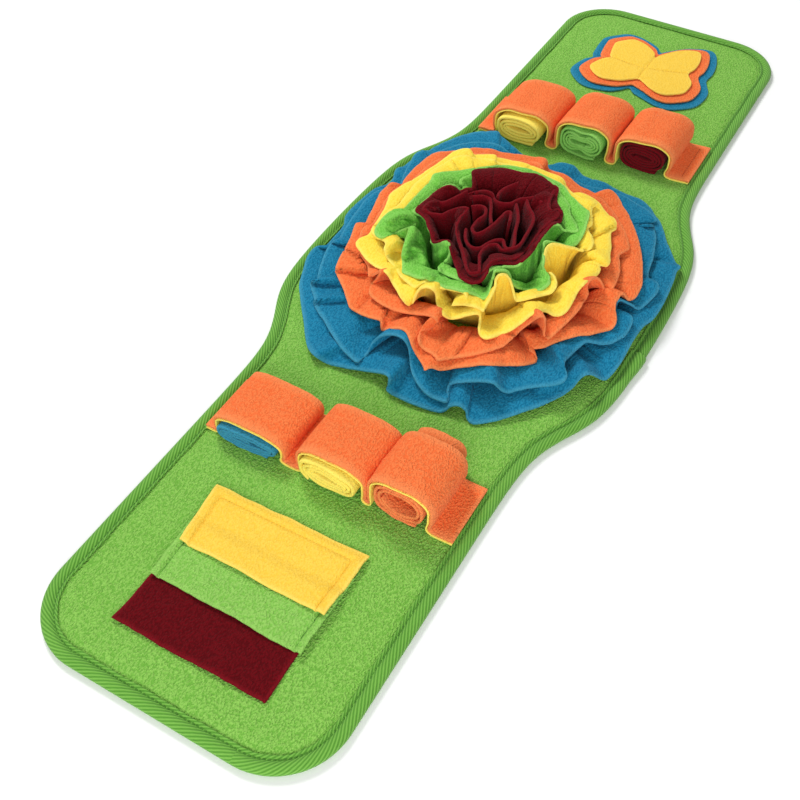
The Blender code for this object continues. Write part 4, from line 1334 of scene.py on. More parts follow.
GREEN_FOLDS = (
    hand_folds(
        (8, 3.4, 0, -90, -30, -85, -20, -76, -15, -70, -18, -66, -28, -62, -40, -60, -52, -54, -64),
        (8, 3.4, 0, -52, -52, -45, -53, -38, -58, -32, -68, -22, -78), (-9, 6, 0, -80, -40, -78, -24),
        (-7, 6, 0, -54, -42, -50, -62), (-7, 6, 0, 45, 0, 53, -48), (-8, 8, 0, 58, -46, 62, -42),
        (-7, 8, 0, 56, 50, 60, 46),
    ),
    hand_folds(
        (8, 3.4, 0, -30, -33, -28, -45, -30, -58, -27, -66, -20, -69), (-5, 6, 0, -46, -34, -42, -52),
        (-7, 6, 0, 44, 28, 44, 36), (-7, 6, 0, -56, 55, -52, 50),
    ),
)
MAROON_FOLDS = (
    hand_folds(
        (-3, 6, 1, 24, 60, 14, 79),
    ),
    hand_folds(
        (-8, 9, 0, -48, 22, -40, 30), (-9, 7, 0, -56, -6, -44, 2), (-6, 8, 0, 4, 66, 16, 70),
        (-8, 6, 0, 34, 20, 35, -16),
    ),
)


@dataclass
class Ruffle:
    """One strip of fleece, gathered along its middle and sewn down in a ring.

    Attributes:
        slot: its colour.
        middle_mm: the seam ring's middle.
        under, over: the free edges of its lower and upper ply.
        flat: width and length of the strip as it was cut.
        rows: places from the root to the rim.
        samples: places round the rim.
        soft_reach: bends of a rim shorter than this are folds.
        fold_fade: power with which a fold grows towards the rim.
        wave: rise for each metre that a fold is seen beyond the softened rim.
        drawn_up: rise for each metre that the softened rim is drawn in.
        lowest, highest: how far the rim may leave its usual height.
        pleat_pitch, pleat: width and height of the gathers.
        pleat_climb: over what share of its width a gather rises.
        root_height: height of the seam.
        bow_width: from which width on the ply bows fully.
    """

    slot: Slot
    middle_mm: tuple[float, float]
    under: Rim
    over: Rim
    flat: tuple[float, float]
    rows: int
    thickness: float = 2.2 * MM
    samples: int = 600
    soft_reach: float = 15 * MM
    fold_fade: float = 0.75
    wave: float = 0.9
    drawn_up: float = 0.2
    lowest: float = 7 * MM
    highest: float = 15 * MM
    pleat_pitch: float = 19 * MM
    pleat: float = 2.2 * MM
    pleat_climb: float = 0.86
    root_height: float = 8.0 * MM
    bow_width: float = 20 * MM

    def rim_line(self, rim: Rim) -> Array:
        """The free edge in space.

        A gathered edge waves up and down more than in and out. So where it is seen past its
        own softened line, away from the viewer, most of that is height: each millimetre
        stands for `wave` of a millimetre of rise. It also stands higher where the softened
        line is drawn in. Each place then slides along its line of sight to its rise.
        """
        seen = curve(rim.places * MM, self.samples, True)
        trend = softened(seen, self.soft_reach)
        away = unit(trend - np.array(SIGHT.eye[:2]))
        beyond = ((seen - trend) * away).sum(axis=1)
        reach = np.linalg.norm(trend - np.array(self.middle_mm) * MM, axis=1)
        rise = self.wave * beyond + self.drawn_up * (reach.mean() - reach)
        rise = rim.rise_mm * MM + np.clip(rise, -self.lowest, self.highest)
        rise = softened(rise[:, None], 1.5 * MM, 1.0 * MM)[:, 0]
        placed = SIGHT.slide(raised(seen, rim.plane_mm * MM), rise)
        return even(placed, self.samples, True)

    def ply(self, rim: Rim) -> Array:
        """The middle surface of one ply, [place round the rim, place from root to rim, xyz].

        A cubic with four control points leads from the seam up, over in a bow and out to the
        softened rim; what the real rim departs from the softened one is added along it, as
        the share of the way to the power fold_fade, so each fold runs in and fades.

        Args:
            rim: the ply's free edge.

        Returns:
            The surface's points.
        """
        edge = self.rim_line(rim)
        soft = softened(edge, self.soft_reach)
        middle = np.array(self.middle_mm) * MM
        turn = np.unwrap(np.arctan2(*(soft[:, :2] - middle).T[::-1]))
        ring = middle + rim.seam_mm * MM * np.column_stack([np.cos(turn), np.sin(turn)])
        root = raised(ring, self.root_height)
        out = soft - root
        width = np.linalg.norm(out[:, :2], axis=1, keepdims=True)
        lean = np.clip(width / self.bow_width, 0.0, 1.0)
        stand = root + out * (0.08, 0.08, 0.0) + UP * out[:, 2:] * 0.80
        bow = root + out * (0.60, 0.60, 0.0)
        bow += UP * (out[:, 2:] * (0.85 + 0.25 * lean) + 0.10 * width)
        t = (1.0 - (1.0 - np.linspace(0.0, 1.0, self.rows)) ** 1.25)[None, :, None]
        parts = (root, stand, bow, soft)
        weights = ((1 - t) ** 3, 3 * t * (1 - t) ** 2, 3 * t ** 2 * (1 - t), t ** 3)
        base = sum(weight * part[:, None] for weight, part in zip(weights, parts))
        surface = base + (edge - soft)[:, None] * t ** self.fold_fade
        surface = surface + self.pleats(surface, t[0, :, 0], rim.seam_mm)
        plane = np.full(surface.shape[:2], rim.plane_mm * MM)
        seen = SIGHT.slide(surface, plane)
        lift = sum((fold.lift(seen) for fold in rim.folds), np.zeros(plane.shape))
        return SIGHT.slide(surface, surface[..., 2] + lift * smooth(t[..., 0] / 0.4))

    def pleats(self, surface: Array, t: Array, seed: float) -> Array:
        """What the gathers add to a ply: folds that rise slowly and drop steeply.

        A fold climbs over most of its pitch with a rounded top and falls in the rest; some
        lean one way and some the other. The pitch drifts with slower sines round the ring.
        Folds are highest where they come out from under the next ruffle, and weaker at the
        rim.

        Args:
            surface: the ply without them.
            t: each column's share of the way out.
            seed: shifts the drift.

        Returns:
            Offsets off the surface, upwards.
        """
        count = round(steps_round(surface[:, -1]).sum() / self.pleat_pitch)
        row = np.arange(len(surface)) / len(surface) * 2 * math.pi
        drift = 1.3 * np.sin(3 * row + seed) + 0.9 * np.sin(7 * row + 2 * seed)
        drift += 0.6 * np.sin(13 * row + 3 * seed)
        turns = (count * row + drift) / (2 * math.pi)
        share, number = turns % 1.0, np.floor(turns)
        leans = np.sin(number * 2.4 + seed) > -0.25
        share = np.where(leans, share, 1.0 - share)
        strength = 0.65 + 0.45 * np.sin(number * 4.1 + 2 * seed)
        climb = np.sin(0.5 * math.pi * np.clip(share / self.pleat_climb, 0.0, 1.0))
        drop = smooth((share - self.pleat_climb) / (1 - self.pleat_climb))
        ridge = strength * (climb * (1.0 - drop) - 0.5)
        fade = smooth(t / 0.35) * (1.0 - 0.72 * smooth((t - 0.62) / 0.38))
        return -normals(surface, True) * self.pleat * (ridge[:, None] * fade)[..., None]


@dataclass
class HeightField:
    """The highest cloth so far at each place, for laying the next cloth on it.

    Attributes:
        half: half the field's side.
        step: a cell's side.
        floor: height of the bare mat.
        heights: one height a cell.
    """

    half: float = 0.21
    step: float = 1.0 * MM
    floor: float = 7.2 * MM
    heights: Array = field(init=False)

    def __post_init__(self) -> None:
        size = int(2 * self.half / self.step)
        self.heights = np.full((size, size), self.floor)

    def cells(self, points: Array) -> tuple[Array, Array]:
        """The field's cells under the points."""
        size = len(self.heights) - 1
        at = np.clip(((points[..., :2] + self.half) / self.step).astype(int), 0, size)
        return at[..., 0], at[..., 1]

    def add(self, surface: Array, half_thickness: float) -> None:
        """Raises the field to a surface, whose grid is first filled in four times as fine."""
        fine = surface
        for axis in (0, 1):
            rolled = np.roll(fine, -1, axis=axis)
            if axis == 1:
                rolled[:, -1] = fine[:, -1]
            parts = [between(fine, rolled, share) for share in (0.0, 0.25, 0.5, 0.75)]
            fine = np.concatenate(parts, axis=axis)
        np.maximum.at(self.heights, self.cells(fine), fine[..., 2] + half_thickness)

    def under(self, points: Array) -> Array:
        """The field's height under each point."""
        return self.heights[self.cells(points)]


# Each ruffle, from the outermost inwards: its colour, x of its seam ring's middle, the ring's
# radius, the height of the plane its rims are seen on, the rims, their folds and their usual
# heights, the strip's flat size, and the places from root to rim.
RUFFLES = (
    (Slot.BLUE, 0, 110, 18, (BLUE_UNDER, BLUE_OVER), BLUE_FOLDS, (14, 22),
     (0.112, 1.20), 13),
    (Slot.ORANGE, 0, 90, 32, (ORANGE_UNDER, ORANGE_OVER), ORANGE_FOLDS, (32, 39),
     (0.111, 0.98), 13),
    (Slot.YELLOW, -1, 71, 50, (YELLOW_UNDER, YELLOW_OVER), YELLOW_FOLDS, (47, 54),
     (0.123, 0.78), 13),
    (Slot.GREEN, -3, 54, 50, (GREEN_UNDER, GREEN_OVER), GREEN_FOLDS, (55, 59),
     (0.126, 0.60), 22),
    (Slot.MAROON, -6, 38, 60, (MAROON_UNDER, MAROON_OVER), MAROON_FOLDS, (61, 63.5),
     (0.129, 0.42), 13),
)


@dataclass
class Flower:
    """The five ruffles and the folded strip at their heart, from the mat upwards.

    Attributes:
        seam_half: half the distance between the seams of a ruffle's two plies, in mm.
        clearance: air between a ply and the cloth below it.
        most_lift: the most that a ply is lifted.
        slack: how far short of its own need a point's lift may fall.
    """

    seam_half: float = 3.5
    clearance: float = 0.4 * MM
    most_lift: float = 14 * MM
    slack: float = 0.5 * MM

    def ruffles(self) -> list[Ruffle]:
        """The ruffles, from the outermost inwards."""
        made = []
        for slot, middle, seam_mm, plane, rims, folds, rises, flat, rows in RUFFLES:
            radii = (seam_mm + self.seam_half, seam_mm - self.seam_half)
            under, over = (Rim(places, plane, rise, radius, by_hand) for places, rise, radius,
                           by_hand in zip(rims, rises, radii, folds))
            made.append(Ruffle(slot, (middle, 0), under, over, flat, rows))
        return made

    def laid(self, surface: Array, half: float, below: HeightField) -> Array:
        """A ply lifted clear of the cloth below it, along the lines of sight.

        The lift that each point needs is spread over its neighbours by blurring, but never
        falls short of its own need by more than the slack. It is nothing near the root and
        at its full size from just under half of the way out.

        Args:
            surface: the ply's middle surface.
            half: half its thickness.
            below: the cloth so far.

        Returns:
            The lifted surface.
        """
        need = below.under(surface) + half + self.clearance - surface[..., 2]
        need = np.clip(need, 0.0, self.most_lift)
        least = blurred(blurred(need)) - self.slack
        for _ in range(3):
            wide = np.maximum(np.roll(need, 1, axis=0), np.roll(need, -1, axis=0))
            need = np.maximum(need, 0.92 * wide)
        for _ in range(10):
            need = blurred(need)
            need[:, 1:-1] = 0.5 * need[:, 1:-1] + 0.25 * (need[:, :-2] + need[:, 2:])
        share = np.linspace(0.0, 1.0, surface.shape[1])[None, :]
        lift = np.maximum(need, least) * smooth((share - 0.15) / 0.3)
        return SIGHT.slide(surface, surface[..., 2] + lift)

    def build(self, shop: Workshop) -> None:
        """Every ruffle, then the heart."""
        below = HeightField()
        for ruffle in self.ruffles():
            half, colour = ruffle.thickness / 2, ruffle.slot.value
            plies = []
            for rim in (ruffle.under, ruffle.over):
                surface = self.laid(ruffle.ply(rim), half, below)
                below.add(surface, half)
                plies.append(surface)
            strip = np.concatenate([plies[0][:, ::-1], plies[1]], axis=1)[::-1]
            thing = shop.piece(f"{colour}_ruffle", sheet_skin(strip, ruffle.thickness, ring=True),
                               raised_look(ruffle.slot), ruffle.slot, f"ruffle_{colour}")
        Heart().build(shop)


@dataclass
class Heart:
    """Strips of maroon fleece that stand on edge in the flower's middle, folded back and forth.

    Attributes:
        plane_mm: height of the plane that the strips' top edges are seen on.
        rise: the top edges' own height.
        depth: how far down the strips reach.
        rows: places from the foot to the top.
        flat: height of the strips, and their length together.
        folds: the top edge of each strip, as it is seen.
    """

    plane_mm: float = 60
    rise: float = 64.5 * MM
    thickness: float = 3.0 * MM
    depth: float = 26 * MM
    rows: int = 8
    flat: tuple[float, float] = (0.028, 0.85)
    folds: tuple[Array, ...] = (
        pairs(
            -36, 34, -32, 38, -27, 40, -22, 39, -17, 33, -12, 31, -6, 32, -1, 36, 1, 41, 4, 46, 9, 50,
            14, 54, 22, 51),
        pairs(
            10, 46, 16, 38, 23, 31, 27, 24, 29, 13, 30, 1, 31, -8, 30, -15, 27, -20, 21, -26, 17, -24,
            13, -22, 9, -25, 7, -29, 6, -35, 7, -42, 10, -48, 13, -54, 16, -60, 15, -63, 11, -66,
            8, -65, 4, -61, -1, -54, -7, -46, -13, -39, -19, -32, -24, -24, -29, -17, -31, -10,
            -31, -3, -30, 5, -33, 9, -38, 6, -44, -3, -47, -10, -52, -12, -58, -14, -66, -12, -63, 3,
            -55, 5, -50, 14, -44, 30),
        pairs(
            -35, 27, -28, 32, -21, 32, -17, 27, -13, 19, -9, 10, -4, 2),
        pairs(
            -19, -18, -16, -25, -12, -31, -7, -35, -2, -36, 3, -33, 5, -27, 7, -22, 10, -17, 15, -14,
            18, -17, 21, -21, 24, -22, 27, -19, 26, -13, 23, -6, 19, 4, 15, 17, 10, 27, 4, 36),
        pairs(
            -29, 14, -24, 18, -19, 18, -16, 15, -14, 8, -16, 0, -16, -8, -15, -14, -10, -18, -6, -15,
            -3, -7, -1, 3, 0, 14, 1, 22, 4, 24, 6, 21, 9, 13),
        pairs(
            25, 71, 27, 58, 31, 47, 36, 44, 39, 49, 43, 47),
        pairs(
            -9, 65, -13, 58, -16, 51, -17, 44, -16, 38),
    )

    def build(self, shop: Workshop) -> None:
        """Each strip leans out from the flower's middle as it rises, most of all at its top."""
        skins = []
        for fold in self.folds:
            length = run_along(fold)[-1]
            top = curve(fold * MM, max(16, int(length / 1.2)))
            seen = raised(top, self.plane_mm * MM)
            top = SIGHT.slide(seen, self.rise + 0.8 * MM * uneven(seen, 0.045, length))
            share = np.linspace(0.0, 1.0, self.rows)[None, :, None]
            foot = top * (0.86, 0.86, 1.0) - (0.0, 0.0, self.depth)
            grid = between(foot[:, None], top[:, None], share)
            grid[..., :2] = between(foot[:, None, :2], top[:, None, :2], share ** 2)
            skins.append(sheet_skin(grid, self.thickness))
        heart = shop.piece("maroon_heart", joined(skins), FLEECES[Slot.MAROON], Slot.MAROON,
                           "heart_maroon")


# ------------------------------------------------------------ straps and rolls
@dataclass
class Loop:
    """One loop of a strap: its sides, and its top at the near and at the far edge, in mm."""

    left: float
    right: float
    near_top: float
    far_top: float


@dataclass
class Roll:
    """A roll of fleece in a loop.

    Attributes:
        name: the piece's name.
        node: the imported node.
        slot: its colour.
        past_near_mm, past_far_mm: how far it sticks out of the loop at its two ends.
        turns: how many times it is wound.
        start: where the outer turn ends, as a share of a turn from the right.
        pinch: how much narrower the inner turns are at their middle.
        core_mm: half the width of an open core.
        cloth: the strip's thickness.
    """

    name: str
    node: str
    slot: Slot
    past_near_mm: float
    past_far_mm: float
    turns: float
    start: float = -0.17
    pinch: float = 0.0
    core_mm: float = 0.0
    cloth: float = 2.5 * MM


OUTLINE_OF_A_LOOP = (            # share of the loop's span, share of its height
    (0.00, 0.00), (-0.01, 0.35), (0.02, 0.75), (0.22, 0.98), (0.50, 1.00),
    (0.78, 0.98), (0.98, 0.75), (1.01, 0.35), (1.00, 0.00),
)
TURN_POINTS, ROLL_POINTS = 900, 300     # points along a winding, raw and evenly spaced


@dataclass
class Strap:
    """A face and a lining, carried together over three loops, with a roll in each.

    Attributes:
        name: near_strap or far_strap.
        near_y, far_y: its two edges at the mat's middle.
        skew: how far the edges run along the mat for each metre across it.
        loops: its three loops, from the left.
        rolls: what is in them.
        tab_end: how far the strap reaches from the middle, on both sides.
        cloth: thickness that the loops' tops and the rolls keep clear of.
        face_cloth, lining_cloth, air: thickness of the two cloths, and the air between.
        stitched_tab: x of the stitches across the right tab, or 0 for none.
        rest, foot: heights of the middle line at its ends and at the loops' feet.
        samples, columns: the strap's grid.
    """

    name: str
    near_y: float
    far_y: float
    skew: float
    loops: tuple[Loop, Loop, Loop]
    rolls: tuple[Roll, Roll, Roll]
    tab_end: float = 0.1119
    cloth: float = 1.9 * MM
    face_cloth: float = 2.5 * MM
    lining_cloth: float = 1.4 * MM
    air: float = 0.2 * MM
    stitched_tab: float = 0.0
    rest: float = 8.6 * MM
    foot: float = 9.4 * MM
    samples: int = 270
    columns: int = 8

    def line(self, end: int) -> Array:
        """The strap's middle line, (x, z), over its loops: end 0 is near and 1 is far."""
        knots = [(-self.tab_end, self.rest)]
        for loop in self.loops:
            top = (loop.near_top, loop.far_top)[end] * MM - self.cloth
            for across, up in OUTLINE_OF_A_LOOP:
                x = (loop.left + across * (loop.right - loop.left)) * MM
                knots.append((x, self.foot + up * (top - self.foot)))
        knots.append((self.tab_end, self.rest))
        return curve(knots, self.samples)

    def middle(self) -> tuple[Array, Array]:
        """The strap's middle surface and its normals.

        Between the near and the far line the surface runs straight. Where it is off the mat,
        it bulges a little in the middle of its width and is a little uneven.
        """
        share = np.linspace(0.0, 1.0, self.columns)[None, :, None]
        flat = between(self.line(0)[:, None], self.line(1)[:, None], share)
        y = between(self.near_y, self.far_y, share[..., 0]) + self.skew * flat[..., 0]
        grid = np.stack([flat[..., 0], y, flat[..., 1]], axis=2)
        away = normals(grid, False)
        off_mat = smooth((grid[..., 2] - 0.012) / 0.012)
        bulge = np.sin(math.pi * share[..., 0])
        wave = uneven(grid, 0.05, 3.0 * self.near_y)
        grid += away * ((0.7 * MM * bulge + 0.6 * MM * wave) * off_mat)[..., None]
        return grid, away

    def build(self, shop: Workshop) -> None:
        """The face over the lining, then the rolls."""
        grid, away = self.middle()
        for part, slot, side, cloth, other, proud in (
                ("face", Slot.ORANGE, 1, self.face_cloth, self.lining_cloth, 0.0),
                ("lining", Slot.YELLOW, -1, self.lining_cloth, self.face_cloth, 1.2 * MM)):
            moved = grid + away * side * (other + self.air) / 2
            reach = np.linspace(-1.0, 1.0, self.columns)[None, :]
            moved[..., 1] += proud * reach
            thing = shop.piece(f"{self.name}_{part}_cloth", sheet_skin(moved, cloth),
                               raised_look(slot), slot, f"{self.name}_{part}")
            sewn = self.tab_stitches(shop) if side > 0 and self.stitched_tab else []
        for loop, roll in zip(self.loops, self.rolls):
            self.build_roll(shop, loop, roll)

    def tab_stitches(self, shop: Workshop) -> list[bpy.types.Object]:
        """The row of stitches across the right tab."""
        x = self.stitched_tab
        share = np.linspace(0.06, 0.94, 30)
        y = between(self.near_y, self.far_y, share) + self.skew * x
        top = self.rest + (self.lining_cloth + self.air + self.face_cloth) / 2
        line = np.column_stack([np.full(30, x), y, np.full(30, top + 0.1 * MM)])
        skin = seam(line, 3.4 * MM, 2.3 * MM, 0.35 * MM)
        return [shop.piece(self.name + "_stitches", skin, THREADS[Slot.ORANGE], Slot.ORANGE)]

    def winding(self, loop: Loop, roll: Roll, top_mm: float) -> Array:
        """The middle line of a roll's cloth at one end of its loop, (x, z).

        A turn is a rounded box: a circle of radius h, squared by a power, stretched by half
        the difference between the loop's width and height. h shrinks by the cloth and its
        air with each turn, so all the turns lie equally close.

        Args:
            loop: the loop it is in.
            roll: the roll.
            top_mm: the loop's top at this end.

        Returns:
            The line's points, from the outer end inwards.
        """
        side, top = self.cloth + 0.9 * MM, 2 * self.cloth + 0.5 * MM
        low, high = 7.0 * MM, top_mm * MM - top
        half_z = (high - low - roll.cloth) / 2
        half_x = (loop.right - loop.left) / 2 * MM - side - roll.cloth / 2
        angle = np.linspace(0.0, roll.turns, TURN_POINTS) * 2 * math.pi
        pitch = roll.cloth + 0.5 * MM
        h = np.maximum(half_z - pitch * angle / (2 * math.pi), roll.core_mm * MM + 1.2 * MM)
        turn = -angle + roll.start * 2 * math.pi
        cosine, sine = np.cos(turn), np.sin(turn)
        power = 0.62 + 0.38 * np.clip(angle / (2 * math.pi * 2.0), 0.0, 1.0)
        boxed = (np.sign(cosine) * np.abs(cosine) ** power,
                 np.sign(sine) * np.abs(sine) ** power)
        x = boxed[0] * (h + half_x - half_z)
        neck = 1.0 - roll.pinch * bell(x / (0.35 * half_x)) * smooth(angle / 9.0)
        z = boxed[1] * h * neck
        middle = np.array([(loop.left + loop.right) / 2 * MM, low + half_z + roll.cloth / 2])
        return even(middle + np.column_stack([x, z]), ROLL_POINTS, False)

    def build_roll(self, shop: Workshop, loop: Loop, roll: Roll) -> None:
        """One wound strip, its ends a little uneven."""
        ends = [self.winding(loop, roll, top) for top in (loop.near_top, loop.far_top)]
        middle = (loop.left + loop.right) / 2 * MM
        near = self.near_y + self.skew * middle - roll.past_near_mm * MM
        far = self.far_y + self.skew * middle + roll.past_far_mm * MM
        share = np.linspace(0.0, 1.0, 8)[None, :]
        flat = between(ends[0][:, None], ends[1][:, None], share[..., None])
        y = between(near, far, share)
        grid = np.stack([flat[..., 0], np.broadcast_to(y, flat.shape[:2]), flat[..., 1]], axis=2)
        wave = 1.3 * MM * uneven(grid, 0.06, roll.turns + middle * 90)
        grid[..., 1] += wave * np.abs(2 * share - 1) ** 2
        skin = sheet_skin(grid, roll.cloth)
        thing = shop.piece(roll.name, skin, raised_look(roll.slot), roll.slot, roll.node)


STRAPS = (
    Strap("near_strap", -0.2825, -0.2275, 0.0,
          (Loop(-102, -38, 32, 30), Loop(-23, 36, 40, 37), Loop(41, 93, 46, 43)),
          (Roll("blue_roll", "roll_near_blue", Slot.BLUE, 4, 3, 2.6),
           Roll("near_yellow_roll", "roll_near_yellow", Slot.YELLOW, 5, 3, 3.2, start=-0.36,
                cloth=3.0 * MM),
           Roll("orange_roll", "roll_near_orange", Slot.ORANGE, 1, 12, 2.3, core_mm=7))),
    Strap("far_strap", 0.205, 0.268, 0.10,
          (Loop(-95, -37, 42, 40), Loop(-28, 27, 45, 42), Loop(35, 90, 43, 41)),
          (Roll("far_yellow_roll", "roll_far_yellow", Slot.YELLOW, 7, 4, 3.3,
                cloth=3.0 * MM),
           Roll("green_roll", "roll_far_green", Slot.GREEN, 3, 4, 4.0, pinch=0.45),
           Roll("maroon_roll", "roll_far_maroon", Slot.MAROON, 0, 4, 4.2)),
          stitched_tab=0.104),
)


# --------------------------------------------------------- flaps and butterfly
@dataclass
class Flap:
    """A flap sewn along its top edge and its sides, open at the near end.

    Attributes:
        slot: its colour.
        look: its fleece.
        corners: far left, far right, near left and near right, x and y in millimetres.
        lift_mm: how far its free edge rises.
        stitched: whether its sides show stitches, and whether its top edge does.
        stitch_inset: how far the stitches are from the edge.
    """

    slot: Slot
    look: Fleece
    corners: tuple
    lift_mm: float
    stitched: tuple[bool, bool]
    stitch_inset: float = 8 * MM

    def size(self) -> tuple[float, float]:
        """Its width along the sewn edge and its length along the left side."""
        far_left, far_right, near_left, _ = self.corners
        return (far_right[0] - far_left[0]) * MM, (far_left[1] - near_left[1]) * MM


@dataclass
class Flaps:
    """Three flaps, each lying over the next one's top edge.

    Attributes:
        flaps: the flaps, from the lowest.
        thickness: their cloth's thickness.
        rest: height of the middle of a flap that lies on the mat.
        climb: over what length a flap eases up onto the one below.
        lead: how far before that one's edge it is up.
        columns, rows: a flap's grid.
    """

    flaps: tuple[Flap, ...] = (
        Flap(Slot.MAROON, FLEECES[Slot.MAROON],
             ((-61, -380), (63, -380), (-63, -457), (64, -455)), 1.5, (False, False)),
        Flap(Slot.GREEN, PALE_GREEN,
             ((-66, -346), (66, -346), (-62, -415), (66, -415)), 1.6, (True, False), 5.5 * MM),
        Flap(Slot.YELLOW, FLEECES[Slot.YELLOW],
             ((-69, -328), (65, -325), (-60, -383), (65, -383)), 1.8, (True, True)),
    )
    thickness: float = 2.0 * MM
    rest: float = 7.7 * MM
    climb: float = 12 * MM
    lead: float = 11 * MM
    columns: int = 96
    rows: int = 60

    def place(self, flap: Flap, across: Array, along: Array) -> tuple[Array, Array]:
        """Where a share of the way across and along a flap is, on the mat."""
        far_left, far_right, near_left, near_right = metres(flap.corners)
        across, along = across[..., None], along[..., None]
        far = between(far_left, far_right, across)
        flat = between(far, between(near_left, near_right, across), along)
        return flat[..., 0], flat[..., 1]

    def surface(self, order: int, across: Array, along: Array) -> Array:
        """A flap's middle surface.

        It lies on the mat at its sewn edge, eases up over the flap below, and its free edge
        lifts in slow waves; a row of stitches presses a groove beside the sewn edges, and
        the cloth outside it stands up again.

        Args:
            order: the flap's number, from the lowest.
            across: share of the way from left to right.
            along: share of the way from the sewn to the free edge.

        Returns:
            Points.
        """
        flap = self.flaps[order]
        x, y = self.place(flap, across, along)
        height = np.full(x.shape, self.rest)
        for lower in self.flaps[:order]:
            over = lower.corners[0][1] * MM + self.climb + self.lead - y
            height += (self.thickness + 0.3 * MM) * smooth(over / self.climb)
        wave = 0.5 + 0.5 * np.cos(2 * math.pi * (1.5 * across + 0.2 * order))
        height += flap.lift_mm * MM * np.clip(along, 0, 1) ** 3 * wave
        width, length = flap.size()
        from_side = np.minimum(across, 1.0 - across) * width
        sides, top = flap.stitched
        inset = np.minimum(from_side if sides else 1.0, along * length if top else 1.0)
        groove = bell((inset - flap.stitch_inset) / (1.4 * MM))
        border = 0.9 * MM * smooth((flap.stitch_inset - inset) / (3 * MM))
        place = raised(np.stack([x, y], axis=-1), 0.0)
        puff = 0.35 * MM * uneven(place, 0.05, 7.0 + order)
        height += puff + border * sides - 1.5 * MM * groove
        height = np.maximum(height, self.rest - 0.2 * MM)
        sway = 0.7 * MM * uneven(place, 0.07, 2.0 + order) * np.abs(2 * across - 1) ** 6
        reach = 0.7 * MM * uneven(place, 0.05, 5.0 + order) * np.abs(2 * along - 1) ** 6
        return np.stack([x + sway, y + reach, height], axis=-1)

    def stitches(self, shop: Workshop, order: int) -> list[bpy.types.Object]:
        """The stitches along a flap's sewn edges."""
        flap = self.flaps[order]
        sides, top = flap.stitched
        if not sides:
            return []
        width, length = flap.size()
        inset_x, inset_y = flap.stitch_inset / width, flap.stitch_inset / length
        start = inset_y if top else 0.0
        share = np.linspace(0.0, 1.0, 60)
        down = start + (0.97 - start) * share
        paths = [(np.full(60, inset_x), down), (np.full(60, 1 - inset_x), down)]
        if top:
            paths.append((inset_x + (1 - 2 * inset_x) * share, np.full(60, inset_y)))
        skins = []
        for across, along in paths:
            line = self.surface(order, across, along) + UP * (self.thickness / 2 + 0.1 * MM)
            skins.append(seam(line, 3.3 * MM, 2.4 * MM, 0.32 * MM))
        return [shop.piece(f"{flap.slot.value}_flap_stitches", joined(skins),
                           THREADS[flap.slot], flap.slot)]

    def build(self, shop: Workshop) -> None:
        """Each flap, its columns closer at the sewn sides, and its stitches."""
        for order, flap in enumerate(self.flaps):
            closer = crowded(self.columns, 0.6)[::-1]
            across, along = np.meshgrid(0.5 + 0.5 * closer,
                                        np.linspace(0.0, 1.0, self.rows), indexing="ij")
            grid = self.surface(order, across, along)
            colour = flap.slot.value
            thing = shop.piece(f"{colour}_flap", sheet_skin(grid, self.thickness), flap.look,
                               flap.slot, f"flap_{colour}")
            self.stitches(shop, order)


